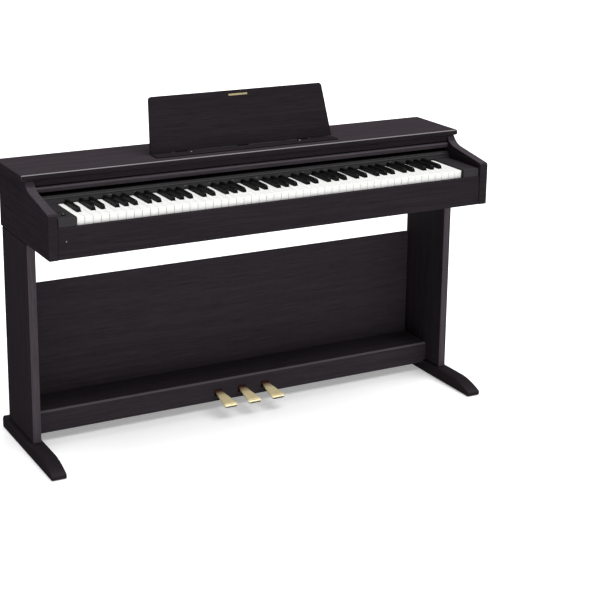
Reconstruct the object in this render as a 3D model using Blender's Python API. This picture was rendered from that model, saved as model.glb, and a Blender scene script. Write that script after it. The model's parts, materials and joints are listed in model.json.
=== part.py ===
"""Digital piano on a panel stand: cabinet, sliding key cover, folding music rest, keys and pedals.

Metres. +X is the treble side, the keyboard faces -Y, +Z is up. The origin is on the floor, under
the middle of the piano's footprint.
"""
import math

import bmesh
import bpy
from mathutils import Matrix, Vector

# Overall sizes
WIDTH = 1.417
DEPTH = 0.432
HEIGHT = 0.821
GAP = 0.0003
NEAR = 0.00001
CUT_PAST = 0.01
CURVE_STEPS = 8
BORE_SIDES = 24

# Upper case
TOP_THICK = 0.017
TOP_DEPTH = 0.232
TOP_OVERHANG = 0.0105
FOOT_SETBACK = 0.022
CASE_HEIGHT = 0.1954
SIDE_THICK = 0.0265
BOARD_THICK = 0.015
BACK_THICK = 0.012
EDGE_ROUND = 0.0014
SLIP_THICK = 0.011
SLIP_HEIGHT = 0.0875
SLIP_SETBACK = 0.0025
FASCIA_THICK = 0.012
FASCIA_HEIGHT = 0.0177
FASCIA_SETBACK = 0.004
ARM_NOSE_DROP = 0.0686
ARM_SLOPE = math.radians(9.6)
ARM_CURVE_START = 0.005
ARM_CURVE = 0.042
ARM_BEND = 0.0085
TOP_ROUND = 0.005
ARM_CORNER = 0.009

# Stand
LEG_THICK = 0.025
LEG_DEPTH = 0.215
FOOT_WIDTH = 0.044
FOOT_HEIGHT = 0.038
FOOT_TOE = 0.092
FOOT_TOE_HEIGHT = 0.013
FOOT_TOE_STEP = 0.004
FOOT_TOE_CURVE = 1.7
FOOT_TOE_SETBACK = 0.0025
FOOT_HEEL_CUT = 0.008
FOOT_SOLE_CUT = 0.003
FOOT_ROUND = 0.0025
LEG_ROUND = 0.002
PANEL_HEIGHT = 0.4445
BOX_FRONT_DEPTH = 0.125
BOX_CLEARANCE = 0.031
BOX_HEIGHT = 0.0685
BOX_WALL = 0.012
BOX_CHAMFER = 0.010

# Keys
OCTAVE = 0.1652
KEY_GAP = 0.001
KEY_TOP = 0.734
KEY_HEIGHT = 0.022
KEY_FRONT_GAP = 0.0025
KEY_SHOWN = 0.150
SHARP_SHOWN = 0.100
SHARP_RISE = 0.012
SHARP_SLOT = 0.0137
SHARP_SIDE_GAP = 0.0012
SHARP_STICK_DROP = 0.0115
STICK_TOP_DROP = 0.001
BAR_DEPTH = 0.010
BAR_HEIGHT = 0.0085
KEY_REACH = 0.230
PIVOT_INSET = 0.006
PIVOT_RISE = 0.0045
NATURALS_PER_OCTAVE = 7
NATURALS = 52
NATURALS_UNDER_LOWEST = 5
LOWEST_OCTAVE = 0
HIGHEST_OCTAVE = 7
SINGLE_OCTAVE = 4

# Fallboard behind the keys, and the blocks beside them
FALLBOARD_GAP = 0.0028
FALLBOARD_HEIGHT = 0.020
FALLBOARD_LEAN = 0.010
FALLBOARD_DEPTH = 0.085
FALLBOARD_WALL = 0.0036
FALLBOARD_EDGE = 0.003
FALLBOARD_EDGE_SHARE = 0.85
FALLBOARD_CORNER = 0.0008
CHEEK_GAP = 0.002
CHEEK_ARM_GAP = 0.0035
CHEEK_RISE = 0.004
CHEEK_LIP = 0.003
CHEEK_BACK_GAP = 0.0015
CHEEK_ROUND = 0.003

# Sliding key cover
COVER_SLOPE = ARM_SLOPE
COVER_START_Z = 0.768
COVER_THICK = 0.004
COVER_LENGTH = 0.176
COVER_SIDE_GAP = 0.001
COVER_BAR_DEPTH = 0.013
COVER_BAR_HEIGHT = 0.014
COVER_BAR_ROUND = 0.005
COVER_BAR_EDGE = 0.001
COVER_FLOAT = 0.0005

# Music rest
REST_WIDTH = 0.594
REST_TAPER = 0.0135
REST_LENGTH = 0.1605
REST_THICK = 0.009
REST_BACK = 0.003
REST_LEAN = math.radians(16)
REST_CORNER = 0.010
REST_FOOT_SETBACK = 0.074
REST_PIN_HEIGHT = 0.0052
REST_HEEL = 0.002
REST_ROUND = 0.001
LEDGE_DEPTH = 0.0395
LEDGE_THICK = 0.0035
LEDGE_SETBACK = 0.032
HINGE_RADIUS = 0.0024
HINGE_LEAF = 0.0008
HINGE_DEPTH = 0.021
HINGE_KNUCKLE = 0.036
HINGE_SPACING = 0.200
HINGE_CLEARANCE = 0.0008
HINGE_PIN_INSET = 0.003
HINGE_END = 0.010
HINGE_WEB = 0.8
NOTCH_REACH = 0.02
STRUT_SPACING = 0.320
STRUT_WIDTH = 0.012
STRUT_THICK = 0.0024
STRUT_HEIGHT = 0.060
STRUT_SPREAD = math.radians(30)
STRUT_INSET = 0.0025
POCKET_CLEARANCE = 0.0008
POCKET_DEPTH = 0.0045
POCKET_HEEL = 0.009
POCKET_END = 0.002

# Pedals
PEDAL_SPACING = 0.080
PEDAL_TIP_WIDTH = 0.044
PEDAL_NECK_WIDTH = 0.022
PEDAL_THICK = 0.008
PEDAL_SHOWN = 0.094
PEDAL_SLOPE = math.radians(6.5)
PEDAL_ROD_SETBACK = 0.075
PEDAL_ROD_RADIUS = 0.004
PEDAL_ROD_RISE = 0.037
PEDAL_TAIL = 0.020
PEDAL_HUB_RADIUS = 0.0085
PEDAL_ROD_LENGTH = 0.236
PEDAL_DIP = math.radians(4.5)
PEDAL_FLARE = 0.82
PEDAL_TIP_START = 0.8
PEDAL_TIP_NARROW = 0.55
PEDAL_TIP_THIN = 0.35
PEDAL_TIP_CURL = 0.006
PEDAL_CROWN = 0.0028
PEDAL_CROWN_SHARE = 0.7
PEDAL_FLAT = 0.72
PEDAL_UNDER = 0.9
PEDAL_EDGE = 0.001
PEDAL_BORE_REACH = 0.03
PEDAL_SLOT_GAP = 0.0025
BORE_GAP = 0.0003
ADJUSTER_SETBACK = 0.094
ADJUSTER_FOOT_RADIUS = 0.014
ADJUSTER_FOOT_HEIGHT = 0.008
ADJUSTER_STUD_RADIUS = 0.005
ADJUSTER_STUD_HEIGHT = 0.050
ADJUSTER_HOLE_GAP = 0.0005
ADJUSTER_EDGE = 0.001

# Parts inside the case and on its surface
CHASSIS_WALL = 0.003
CHASSIS_SIDE = 0.010
CHASSIS_RAIL = 0.020
CHASSIS_FRONT_DROP = 0.011
CHASSIS_REAR_DROP = 0.0025
CHASSIS_SETBACK = 0.012
SPEAKER_RADIUS = 0.058
SPEAKER_HOLE = 0.050
SPEAKER_HEIGHT = 0.046
SPEAKER_SPACING = 0.920
SPEAKER_BACK_GAP = 0.017
SPEAKER_LIP = 0.002
SPEAKER_FLANGE = 0.004
SPEAKER_CAP = 0.010
SPEAKER_CAP_EDGE = 0.013
SPEAKER_CONE_HEIGHT = 0.016
SPEAKER_BASKET = 0.030
SPEAKER_BASKET_HEIGHT = 0.026
SPEAKER_MAGNET = 0.034
CIRCUIT_WIDTH = 0.300
CIRCUIT_DEPTH = 0.090
CIRCUIT_THICK = 0.0016
CIRCUIT_RISE = 0.020
CIRCUIT_BACK_GAP = 0.014
CHIP_HEIGHT = 0.003
CHIP_HALF_DEPTH = 0.012
CHIP_SPAN = (0.020, 0.050)
POST = 0.004
PHONES_WIDTH = 0.080
PHONES_DEPTH = 0.055
PHONES_HEIGHT = 0.022
PHONES_SETBACK = 0.085
PHONES_SIDE_GAP = 0.075
PHONES_ROUND = 0.0012
JACK_RADIUS = 0.0033
JACK_SPACING = 0.034
JACK_DEPTH = 0.030
SOCKET_PLATE_WIDTH = 0.130
SOCKET_PLATE_HEIGHT = 0.034
SOCKET_PLATE_THICK = 0.002
SOCKET_PLATE_RISE = 0.030
SOCKET_PITCH = 0.027
POWER_JACK_RADIUS = 0.0030
WIDE_SOCKET_WIDTH = 0.012
WIDE_SOCKET_HEIGHT = 0.0105
KNOB_RADIUS = 0.0065
KNOB_HEIGHT = 0.0095
KNOB_RISE = 0.0035
KNOB_SETBACK = 0.0325
KNOB_EDGE = 0.0012
KNOB_EDGE_STEP = 0.0004
BUTTON_WIDTH = 0.0095
BUTTON_DEPTH = 0.0065
BUTTON_HEIGHT = 0.006
BUTTON_RISE = 0.0025
BUTTON_TRAVEL = 0.0015
BUTTON_SETBACK = 0.060
BUTTON_ROUND = 0.0008
CONTROL_GAP = 0.0005

# Places that follow from the sizes above
CASE_BOTTOM = HEIGHT - CASE_HEIGHT
TOP_UNDER = HEIGHT - TOP_THICK
CASE_BACK = DEPTH / 2 - FOOT_SETBACK
CASE_FRONT = -DEPTH / 2
TOP_FRONT = CASE_BACK - TOP_DEPTH
ARM_OUT = WIDTH / 2 - TOP_OVERHANG
ARM_IN = ARM_OUT - SIDE_THICK
INNER = ARM_IN - GAP
BACK_IN = CASE_BACK - BACK_THICK
BED_TOP = CASE_BOTTOM + BOARD_THICK
SLIP_FRONT = CASE_FRONT + SLIP_SETBACK
SLIP_BACK = SLIP_FRONT + SLIP_THICK
SLIP_TOP = CASE_BOTTOM + SLIP_HEIGHT
FASCIA_FRONT = TOP_FRONT + FASCIA_SETBACK
LEG_BACK = BACK_IN
LEG_FRONT = LEG_BACK - LEG_DEPTH
LEG_IN = ARM_OUT - LEG_THICK
FOOT_IN = WIDTH / 2 - FOOT_WIDTH - GAP
OVER_FOOT = FOOT_HEIGHT + GAP
BOX_FRONT = LEG_BACK - BACK_THICK - BOX_FRONT_DEPTH
BOX_BACK = LEG_BACK - BACK_THICK - GAP
BOX_TOP = BOX_CLEARANCE + BOX_HEIGHT
NATURAL_PITCH = OCTAVE / NATURALS_PER_OCTAVE
KEY_FRONT = SLIP_BACK + KEY_FRONT_GAP
KEY_BOTTOM = KEY_TOP - KEY_HEIGHT
KEY_END = KEY_FRONT + KEY_REACH
PIVOT_Y = KEY_END - PIVOT_INSET
PIVOT_Z = KEY_BOTTOM + PIVOT_RISE
FALLBOARD_FRONT = KEY_FRONT + KEY_SHOWN
SHARP_FRONT = FALLBOARD_FRONT - SHARP_SHOWN
FALLBOARD_BOTTOM = KEY_TOP + FALLBOARD_GAP
FALLBOARD_TOP = FALLBOARD_BOTTOM + FALLBOARD_HEIGHT
CHEEK_TOP = KEY_TOP + CHEEK_RISE
CHEEK_FRONT = SLIP_FRONT + CHEEK_LIP
CHEEK_END = FALLBOARD_FRONT - CHEEK_BACK_GAP
REST_FOOT_Y = TOP_FRONT + REST_FOOT_SETBACK
PEDAL_ROD_Y = BOX_FRONT + PEDAL_ROD_SETBACK
PEDAL_ROD_Z = BOX_CLEARANCE + PEDAL_ROD_RISE


def clear_scene():
    for obj in list(bpy.data.objects):
        bpy.data.objects.remove(obj, do_unlink=True)


def finish(name, colour, roughness, metallic=0.0):
    """One Principled material."""
    made = bpy.data.materials.new(name)
    made.use_nodes = True
    shader = made.node_tree.nodes["Principled BSDF"]
    shader.inputs["Base Color"].default_value = (*colour, 1.0)
    shader.inputs["Roughness"].default_value = roughness
    shader.inputs["Metallic"].default_value = metallic
    made.diffuse_color = (*colour, 1.0)
    return made


def place(name, bm, look, origin=(0, 0, 0), tilt=0.0, parent=None, local=False, smooth=False):
    """Turn a bmesh into a named object. Its points are in world space unless local is set."""
    if not local:
        bmesh.ops.translate(bm, verts=bm.verts, vec=-Vector(origin))
    bmesh.ops.recalc_face_normals(bm, faces=bm.faces)
    mesh = bpy.data.meshes.new(name)
    bm.to_mesh(mesh)
    bm.free()
    if smooth:
        mesh.shade_smooth()
        mesh.set_sharp_from_angle(angle=math.radians(35))
    mesh.materials.append(look)
    obj = bpy.data.objects.new(name, mesh)
    bpy.context.scene.collection.objects.link(obj)
    obj.location = origin
    obj.rotation_euler.x = tilt
    obj.parent = parent
    return obj


def empty(name, origin, tilt=0.0):
    """A frame that moving pieces hang from."""
    obj = bpy.data.objects.new(name, None)
    bpy.context.scene.collection.objects.link(obj)
    obj.location = origin
    obj.rotation_euler.x = tilt
    return obj


def box(low, high):
    """A box between two corners."""
    bm = bmesh.new()
    size = Vector(high) - Vector(low)
    middle = (Vector(high) + Vector(low)) / 2
    matrix = Matrix.Translation(middle) @ Matrix.Diagonal((*size, 1.0))
    bmesh.ops.create_cube(bm, size=1.0, matrix=matrix)
    return bm


def prism(outline, x_low, x_high):
    """An outline of (y, z) points drawn along X."""
    bm = bmesh.new()
    face = bm.faces.new([bm.verts.new((x_low, y, z)) for y, z in outline])
    drawn = bmesh.ops.extrude_face_region(bm, geom=[face])["geom"]
    verts = [item for item in drawn if isinstance(item, bmesh.types.BMVert)]
    bmesh.ops.translate(bm, verts=verts, vec=(x_high - x_low, 0, 0))
    return bm


def cells(xs, ys, zs, inside):
    """A solid made of the boxes of a grid whose centres are inside the shape."""
    grid = [sorted({round(v, 6) for v in values}) for values in (xs, ys, zs)]
    counts = [len(values) - 1 for values in grid]

    def filled(index):
        if any(i < 0 or i >= n for i, n in zip(index, counts)):
            return False
        return inside(*[(values[i] + values[i + 1]) / 2 for values, i in zip(grid, index)])

    bm = bmesh.new()
    corners = {}

    def corner(index):
        if index not in corners:
            corners[index] = bm.verts.new([values[i] for values, i in zip(grid, index)])
        return corners[index]

    for i in range(counts[0]):
        for j in range(counts[1]):
            for k in range(counts[2]):
                if not filled((i, j, k)):
                    continue
                for axis in range(3):
                    for side in (0, 1):
                        beside = [i, j, k]
                        beside[axis] += 2 * side - 1
                        if filled(tuple(beside)):
                            continue
                        ring = []
                        for a, b in ((0, 0), (1, 0), (1, 1), (0, 1)):
                            at = [i, j, k]
                            at[axis] += side
                            at[(axis + 1) % 3] += a
                            at[(axis + 2) % 3] += b
                            ring.append(corner(tuple(at)))
                        bm.faces.new(ring if side else ring[::-1])
    bmesh.ops.dissolve_limit(bm, angle_limit=0.01, verts=bm.verts, edges=bm.edges)
    return bm


def loft(rings):
    """A solid through rings of points, closed at both ends."""
    bm = bmesh.new()
    rows = [[bm.verts.new(point) for point in ring] for ring in rings]
    count = len(rings[0])
    for near, far in zip(rows, rows[1:]):
        for i in range(count):
            bm.faces.new((near[i], near[(i + 1) % count], far[(i + 1) % count], far[i]))
    bm.faces.new(rows[0][::-1])
    bm.faces.new(rows[-1])
    return bm


def turned(profile, sides, centre=(0, 0, 0)):
    """A solid turned about a vertical line through centre, from (radius, z) points."""
    rings = []
    for radius, z in profile:
        ring = []
        for i in range(sides):
            angle = 2 * math.pi * i / sides
            ring.append(Vector(centre) + Vector((radius * math.cos(angle), radius * math.sin(angle), z)))
        rings.append(ring)
    return loft(rings)


def rod(radius, x_low, x_high, y, z, sides):
    """A round bar along X."""
    outline = []
    for i in range(sides):
        angle = 2 * math.pi * (i + 0.5) / sides
        outline.append((y + radius * math.cos(angle), z + radius * math.sin(angle)))
    return prism(outline, x_low, x_high)


def round_edges(bm, chosen, radius, segments=2):
    """Round the edges whose two ends pass the test."""
    edges = [edge for edge in bm.edges if all(chosen(vert.co) for vert in edge.verts)]
    bmesh.ops.bevel(bm, geom=edges, offset=radius, segments=segments, profile=0.5, affect="EDGES")


def soften(obj, radius=EDGE_ROUND, segments=1):
    """Break every sharp edge of a board."""
    bevel = obj.modifiers.new("broken edges", "BEVEL")
    bevel.width = radius
    bevel.segments = segments
    bevel.limit_method = "ANGLE"
    bevel.angle_limit = math.radians(50)


def cut(obj, cutter, operation="DIFFERENCE"):
    """Cut one object with another, or join it on."""
    cutter.hide_render = True
    cutter.display_type = "WIRE"
    boolean = obj.modifiers.new(cutter.name, "BOOLEAN")
    boolean.operation = operation
    boolean.solver = "EXACT"
    boolean.object = cutter


def arc(centre_y, centre_z, radius, start, end, steps):
    """Points on a circle in the (y, z) plane; angles in degrees, from +Y towards +Z."""
    points = []
    for i in range(steps + 1):
        angle = math.radians(start + (end - start) * i / steps)
        points.append((centre_y + radius * math.cos(angle), centre_z + radius * math.sin(angle)))
    return points


def between(value, low, high):
    return low < value < high


def side_arms(looks):
    """The two side boards of the upper case, with the curve and slope of the arm's top edge."""
    nose = HEIGHT - ARM_NOSE_DROP
    fall = math.tan(ARM_SLOPE)

    def slope_z(y):
        return nose + (y - CASE_FRONT) * fall

    start = (TOP_FRONT + ARM_CURVE_START, TOP_UNDER - GAP)
    bend_y = TOP_FRONT - ARM_BEND
    end_y = start[0] - ARM_CURVE
    curve = []
    for i in range(CURVE_STEPS + 1):
        t = i / CURVE_STEPS
        share = ((1 - t) ** 2, 2 * t * (1 - t), t * t)
        y = share[0] * start[0] + share[1] * bend_y + share[2] * end_y
        z = share[0] * start[1] + share[1] * slope_z(bend_y) + share[2] * slope_z(end_y)
        curve.append((y, z))
    corner_y = CASE_FRONT + ARM_CORNER
    corner_z = slope_z(corner_y) - ARM_CORNER
    tip = arc(corner_y, corner_z, ARM_CORNER, 90 + math.degrees(ARM_SLOPE), 180, 4)
    outline = [(CASE_BACK, TOP_UNDER - GAP)] + curve + tip
    outline += [(CASE_FRONT, CASE_BOTTOM), (CASE_BACK, CASE_BOTTOM)]
    for side, name in ((-1, "left_arm"), (1, "right_arm")):
        low, high = sorted((side * ARM_IN, side * ARM_OUT))
        soften(place(name, prism(outline, low, high), looks["cabinet"], (low, CASE_BACK, CASE_BOTTOM)))


def stand(looks):
    """Feet, side panels and the modesty panel between them."""
    toe = CASE_FRONT + FOOT_TOE_SETBACK
    heel = DEPTH / 2
    drop = FOOT_HEIGHT - FOOT_TOE_HEIGHT - FOOT_TOE_STEP
    outline = [(heel, 0.0), (heel, FOOT_HEIGHT - FOOT_HEEL_CUT), (heel - FOOT_HEEL_CUT, FOOT_HEIGHT)]
    for i in range(CURVE_STEPS + 1):
        t = i / CURVE_STEPS
        y = toe + FOOT_TOE - t * (FOOT_TOE - FOOT_TOE_STEP)
        outline.append((y, FOOT_HEIGHT - drop * t ** FOOT_TOE_CURVE))
    outline += [(toe, FOOT_TOE_HEIGHT), (toe, FOOT_SOLE_CUT), (toe + FOOT_SOLE_CUT, 0.0)]
    for side, name in ((-1, "left"), (1, "right")):
        low, high = sorted((side * (WIDTH / 2 - FOOT_WIDTH), side * WIDTH / 2))
        foot = place(name + "_foot", prism(outline, low, high), looks["cabinet"], (low, 0, 0))
        soften(foot, FOOT_ROUND)
        low, high = sorted((side * LEG_IN, side * ARM_OUT))
        bm = box((low, LEG_FRONT, FOOT_HEIGHT + GAP), (high, LEG_BACK, CASE_BOTTOM - GAP))
        leg = place(name + "_leg_panel", bm, looks["cabinet"], (low, LEG_BACK, FOOT_HEIGHT))
        soften(leg, LEG_ROUND)
    reach = LEG_IN - GAP
    bm = cells([-reach, -FOOT_IN, FOOT_IN, reach], [LEG_BACK - BACK_THICK, LEG_BACK],
               [BOX_CLEARANCE, OVER_FOOT, PANEL_HEIGHT], clear_of_feet)
    soften(place("modesty_panel", bm, looks["back_board"], (0, LEG_BACK, BOX_CLEARANCE)))


def clear_of_feet(x, y, z):
    """True where a board between the legs has room beside and above the feet."""
    return abs(x) < FOOT_IN or z > OVER_FOOT


def pedal_centre(index):
    return (index - 1) * PEDAL_SPACING


def pedal_height(y):
    """Height of the pedal's centre line at y, along its slope."""
    return PEDAL_ROD_Z + (y - PEDAL_ROD_Y) * math.tan(PEDAL_SLOPE)


def pedal_box(looks):
    """The hollow lower rail: four walls, two ribs that carry the rod, and three pedal slots."""
    reach = LEG_IN - GAP
    inner_y = (BOX_FRONT + BOX_WALL, BOX_BACK - BOX_WALL)
    inner_z = (BOX_CLEARANCE + BOX_WALL, BOX_TOP - BOX_WALL)
    rib = PEDAL_ROD_LENGTH / 2 + GAP
    drop = (PEDAL_ROD_Y - BOX_FRONT) * math.tan(PEDAL_DIP)
    slot_z = (pedal_height(BOX_FRONT) - PEDAL_THICK / 2 - drop - PEDAL_SLOT_GAP,
              pedal_height(inner_y[0]) + PEDAL_THICK / 2 + PEDAL_SLOT_GAP)
    half_slot = PEDAL_NECK_WIDTH / 2 + PEDAL_SLOT_GAP

    def inside(x, y, z):
        in_slot = any(abs(x - pedal_centre(i)) < half_slot for i in range(3))
        if in_slot and y < inner_y[0] and between(z, *slot_z) or not clear_of_feet(x, y, z):
            return False
        hollow = between(y, *inner_y) and between(z, *inner_z)
        return not hollow or between(abs(x), rib, rib + BOX_WALL)

    xs = [-reach, reach]
    for side in (-1, 1):
        xs += [side * rib, side * (rib + BOX_WALL), side * FOOT_IN]
    for i in range(3):
        xs += [pedal_centre(i) - half_slot, pedal_centre(i) + half_slot]
    ys = [BOX_FRONT, inner_y[0], inner_y[1], BOX_BACK]
    zs = [BOX_CLEARANCE, OVER_FOOT, inner_z[0], slot_z[0], slot_z[1], inner_z[1], BOX_TOP]
    bm = cells(xs, ys, zs, inside)
    round_edges(bm, lambda co: co.y < BOX_FRONT + NEAR and co.z > BOX_TOP - NEAR, BOX_CHAMFER, 3)
    rail = place("pedal_box", bm, looks["cabinet"], (0, BOX_FRONT, BOX_CLEARANCE))
    radius = ADJUSTER_STUD_RADIUS + ADJUSTER_HOLE_GAP
    hole = turned([(radius, -CUT_PAST), (radius, BOX_WALL + CUT_PAST)], BORE_SIDES)
    at = (0, BOX_FRONT + ADJUSTER_SETBACK, BOX_CLEARANCE)
    cut(rail, place("adjuster_hole", hole, looks["steel"], at, local=True))


def pedals(looks):
    """Three brass levers on one rod, and the screw foot that props the rail on the floor."""
    half = PEDAL_ROD_LENGTH / 2
    bar = rod(PEDAL_ROD_RADIUS, -half, half, PEDAL_ROD_Y, PEDAL_ROD_Z, BORE_SIDES)
    place("pedal_rod", bar, looks["steel"], (0, PEDAL_ROD_Y, PEDAL_ROD_Z), smooth=True)
    reach = (PEDAL_ROD_Y - BOX_FRONT + PEDAL_SHOWN) / math.cos(PEDAL_SLOPE)
    neck = reach - PEDAL_SHOWN * PEDAL_FLARE
    hub = PEDAL_HUB_RADIUS
    stations = [-PEDAL_TAIL, -hub, -hub * 0.8, -hub * 0.45, 0.0, hub * 0.45, hub * 0.8, hub, neck * 0.6, neck]
    stations += [neck + (reach - neck) * t for t in (0.2, 0.4, 0.6, 0.75, 0.87, 0.95, 0.99)]
    for index, name in enumerate(("soft_pedal", "sostenuto_pedal", "damper_pedal")):
        rings = []
        for s in stations:
            t = max(0.0, (s - neck) / (reach - neck))
            flare = t * t * (3 - 2 * t) if t < 1 else 1.0
            spread = (PEDAL_TIP_WIDTH - PEDAL_NECK_WIDTH) / 2
            half_width = PEDAL_NECK_WIDTH / 2 + spread * min(1, flare * 1.25)
            rounding = max(0.0, (t - PEDAL_TIP_START) / (1 - PEDAL_TIP_START))
            half_width *= math.sqrt(1 - PEDAL_TIP_NARROW * rounding ** 3)
            curl = PEDAL_TIP_CURL * rounding ** 2
            half_thick = PEDAL_THICK / 2 * (1 - PEDAL_TIP_THIN * rounding ** 2)
            half_thick = max(half_thick, math.sqrt(max(0.0, hub ** 2 - s ** 2)))
            crown = min(PEDAL_CROWN, half_thick * PEDAL_CROWN_SHARE)
            flat = half_width * PEDAL_FLAT
            under = half_width * PEDAL_UNDER
            ring = [(-half_width, half_thick - crown), (-flat, half_thick),
                    (flat, half_thick), (half_width, half_thick - crown),
                    (half_width, -half_thick + PEDAL_EDGE), (under, -half_thick),
                    (-under, -half_thick), (-half_width, -half_thick + PEDAL_EDGE)]
            rings.append([Vector((x, -s, z - curl)) for x, z in ring])
        origin = (pedal_centre(index), PEDAL_ROD_Y, PEDAL_ROD_Z)
        lever = place(name, loft(rings), looks["brass"], origin, PEDAL_SLOPE, local=True, smooth=True)
        reach_x = PEDAL_BORE_REACH
        bore = rod(PEDAL_ROD_RADIUS + BORE_GAP, -reach_x, reach_x, 0.0, 0.0, BORE_SIDES)
        cut(lever, place(name + "_bore", bore, looks["steel"], origin, local=True))
    foot, stud, edge = ADJUSTER_FOOT_RADIUS, ADJUSTER_STUD_RADIUS, ADJUSTER_EDGE
    profile = [(foot - edge, 0.0), (foot, edge), (foot, ADJUSTER_FOOT_HEIGHT - edge),
               (foot - edge, ADJUSTER_FOOT_HEIGHT), (stud, ADJUSTER_FOOT_HEIGHT),
               (stud, ADJUSTER_STUD_HEIGHT - edge), (stud - edge, ADJUSTER_STUD_HEIGHT)]
    at = (0, BOX_FRONT + ADJUSTER_SETBACK, 0)
    place("pedal_adjuster", turned(profile, BORE_SIDES), looks["plastic"], at, local=True, smooth=True)


def speaker_place(side):
    return side * SPEAKER_SPACING / 2, BACK_IN - SPEAKER_BACK_GAP - SPEAKER_RADIUS


def upper_case(looks):
    """Keybed, key slip, rear panel, fascia and top board."""
    bed = place("keybed", box((-INNER, SLIP_BACK + GAP, CASE_BOTTOM), (INNER, BACK_IN - GAP, BED_TOP)),
                looks["back_board"], (0, SLIP_BACK, CASE_BOTTOM))
    for side in (-1, 1):
        x, y = speaker_place(side)
        hole = turned([(SPEAKER_HOLE, -CUT_PAST), (SPEAKER_HOLE, BOARD_THICK + CUT_PAST)], 32)
        at = (x, y, CASE_BOTTOM)
        cut(bed, place(f"speaker_hole_{side + 1}", hole, looks["steel"], at, local=True))
    bm = box((-INNER, SLIP_FRONT, CASE_BOTTOM), (INNER, SLIP_BACK, SLIP_TOP))
    soften(place("key_slip", bm, looks["cabinet"], (0, SLIP_FRONT, CASE_BOTTOM)))

    plate_x = SOCKET_PLATE_WIDTH / 2 + GAP
    plate_z = (CASE_BOTTOM + SOCKET_PLATE_RISE - GAP,
               CASE_BOTTOM + SOCKET_PLATE_RISE + SOCKET_PLATE_HEIGHT + GAP)

    def panel(x, y, z):
        return not (abs(x) < plate_x and between(z, *plate_z))

    bm = cells([-INNER, -plate_x, plate_x, INNER], [BACK_IN, CASE_BACK],
               [CASE_BOTTOM, *plate_z, TOP_UNDER - GAP], panel)
    place("rear_panel", bm, looks["back_board"], (0, CASE_BACK, CASE_BOTTOM))

    bm = box((-INNER, FASCIA_FRONT, TOP_UNDER - FASCIA_HEIGHT),
             (INNER, FASCIA_FRONT + FASCIA_THICK, TOP_UNDER - GAP))
    soften(place("fascia", bm, looks["cabinet"], (0, FASCIA_FRONT, TOP_UNDER)))
    bm = box((-WIDTH / 2, TOP_FRONT, TOP_UNDER), (WIDTH / 2, CASE_BACK, HEIGHT))
    soften(place("top_board", bm, looks["cabinet"], (0, CASE_BACK, TOP_UNDER)), TOP_ROUND, 3)


def cheeks(looks):
    """The blocks at each end of the keys. The left one has wells for the knob and the button."""
    keys_half = natural_edges()[1] + CHEEK_GAP
    low_z = BED_TOP + GAP
    for side, name in ((-1, "left_cheek"), (1, "right_cheek")):
        xs = sorted((side * keys_half, side * (ARM_IN - CHEEK_ARM_GAP)))
        bm = cells(xs, [CHEEK_FRONT, SLIP_BACK + GAP, CHEEK_END], [low_z, SLIP_TOP + GAP, CHEEK_TOP],
                   lambda x, y, z: y > SLIP_BACK + GAP or z > SLIP_TOP + GAP)
        round_edges(bm, lambda co: co.z > CHEEK_TOP - NEAR and co.y < CHEEK_FRONT + NEAR, CHEEK_ROUND, 3)
        block = place(name, bm, looks["panel"], (xs[0], CHEEK_FRONT, low_z))
        if side > 0:
            continue
        x = control_x()
        well = turned([(KNOB_RADIUS + CONTROL_GAP, KNOB_RISE - KNOB_HEIGHT - GAP),
                       (KNOB_RADIUS + CONTROL_GAP, CUT_PAST)], BORE_SIDES)
        at = (x, CHEEK_FRONT + KNOB_SETBACK, CHEEK_TOP)
        cut(block, place("knob_well", well, looks["steel"], at, local=True))
        half_x = BUTTON_WIDTH / 2 + CONTROL_GAP
        half_y = BUTTON_DEPTH / 2 + CONTROL_GAP
        depth = BUTTON_HEIGHT - BUTTON_RISE + BUTTON_TRAVEL + GAP
        at = (x, CHEEK_FRONT + BUTTON_SETBACK, CHEEK_TOP)
        well = box((-half_x, -half_y, -depth), (half_x, half_y, CUT_PAST))
        cut(block, place("button_well", well, looks["steel"], at, local=True))


def control_x():
    """The middle of the left cheek, where its two controls stand in a line."""
    return -(natural_edges()[1] + CHEEK_GAP + ARM_IN - CHEEK_ARM_GAP) / 2


def controls(looks):
    """Volume knob and power button."""
    x = control_x()
    profile = [(KNOB_RADIUS, KNOB_RISE - KNOB_HEIGHT), (KNOB_RADIUS, KNOB_RISE - KNOB_EDGE),
               (KNOB_RADIUS - KNOB_EDGE_STEP, KNOB_RISE - KNOB_EDGE_STEP),
               (KNOB_RADIUS - KNOB_EDGE, KNOB_RISE)]
    at = (x, CHEEK_FRONT + KNOB_SETBACK, CHEEK_TOP)
    place("volume_knob", turned(profile, BORE_SIDES), looks["plastic"], at, local=True, smooth=True)
    half_x = BUTTON_WIDTH / 2
    half_y = BUTTON_DEPTH / 2
    bm = box((-half_x, -half_y, BUTTON_RISE - BUTTON_HEIGHT), (half_x, half_y, BUTTON_RISE))
    at = (x, CHEEK_FRONT + BUTTON_SETBACK, CHEEK_TOP)
    soften(place("power_button", bm, looks["plastic"], at, local=True), BUTTON_ROUND)


def fallboard(looks):
    """The leaning panel behind the keys, a thin shell that runs back over the key ends."""
    low, high = FALLBOARD_BOTTOM, FALLBOARD_TOP
    front = FALLBOARD_FRONT
    brow = front + FALLBOARD_LEAN
    back = front + FALLBOARD_DEPTH
    wall, edge, corner = FALLBOARD_WALL, FALLBOARD_EDGE, FALLBOARD_CORNER
    outline = [(front, low), (front + FALLBOARD_LEAN * FALLBOARD_EDGE_SHARE, high - edge),
               (brow, high - corner), (brow + edge, high), (back, high), (back, high - wall),
               (brow + edge * 1.5, high - wall), (front + wall + corner, low)]
    bm = prism(outline, -INNER, INNER)
    place("fallboard", bm, looks["panel"], (0, front, low))


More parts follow.
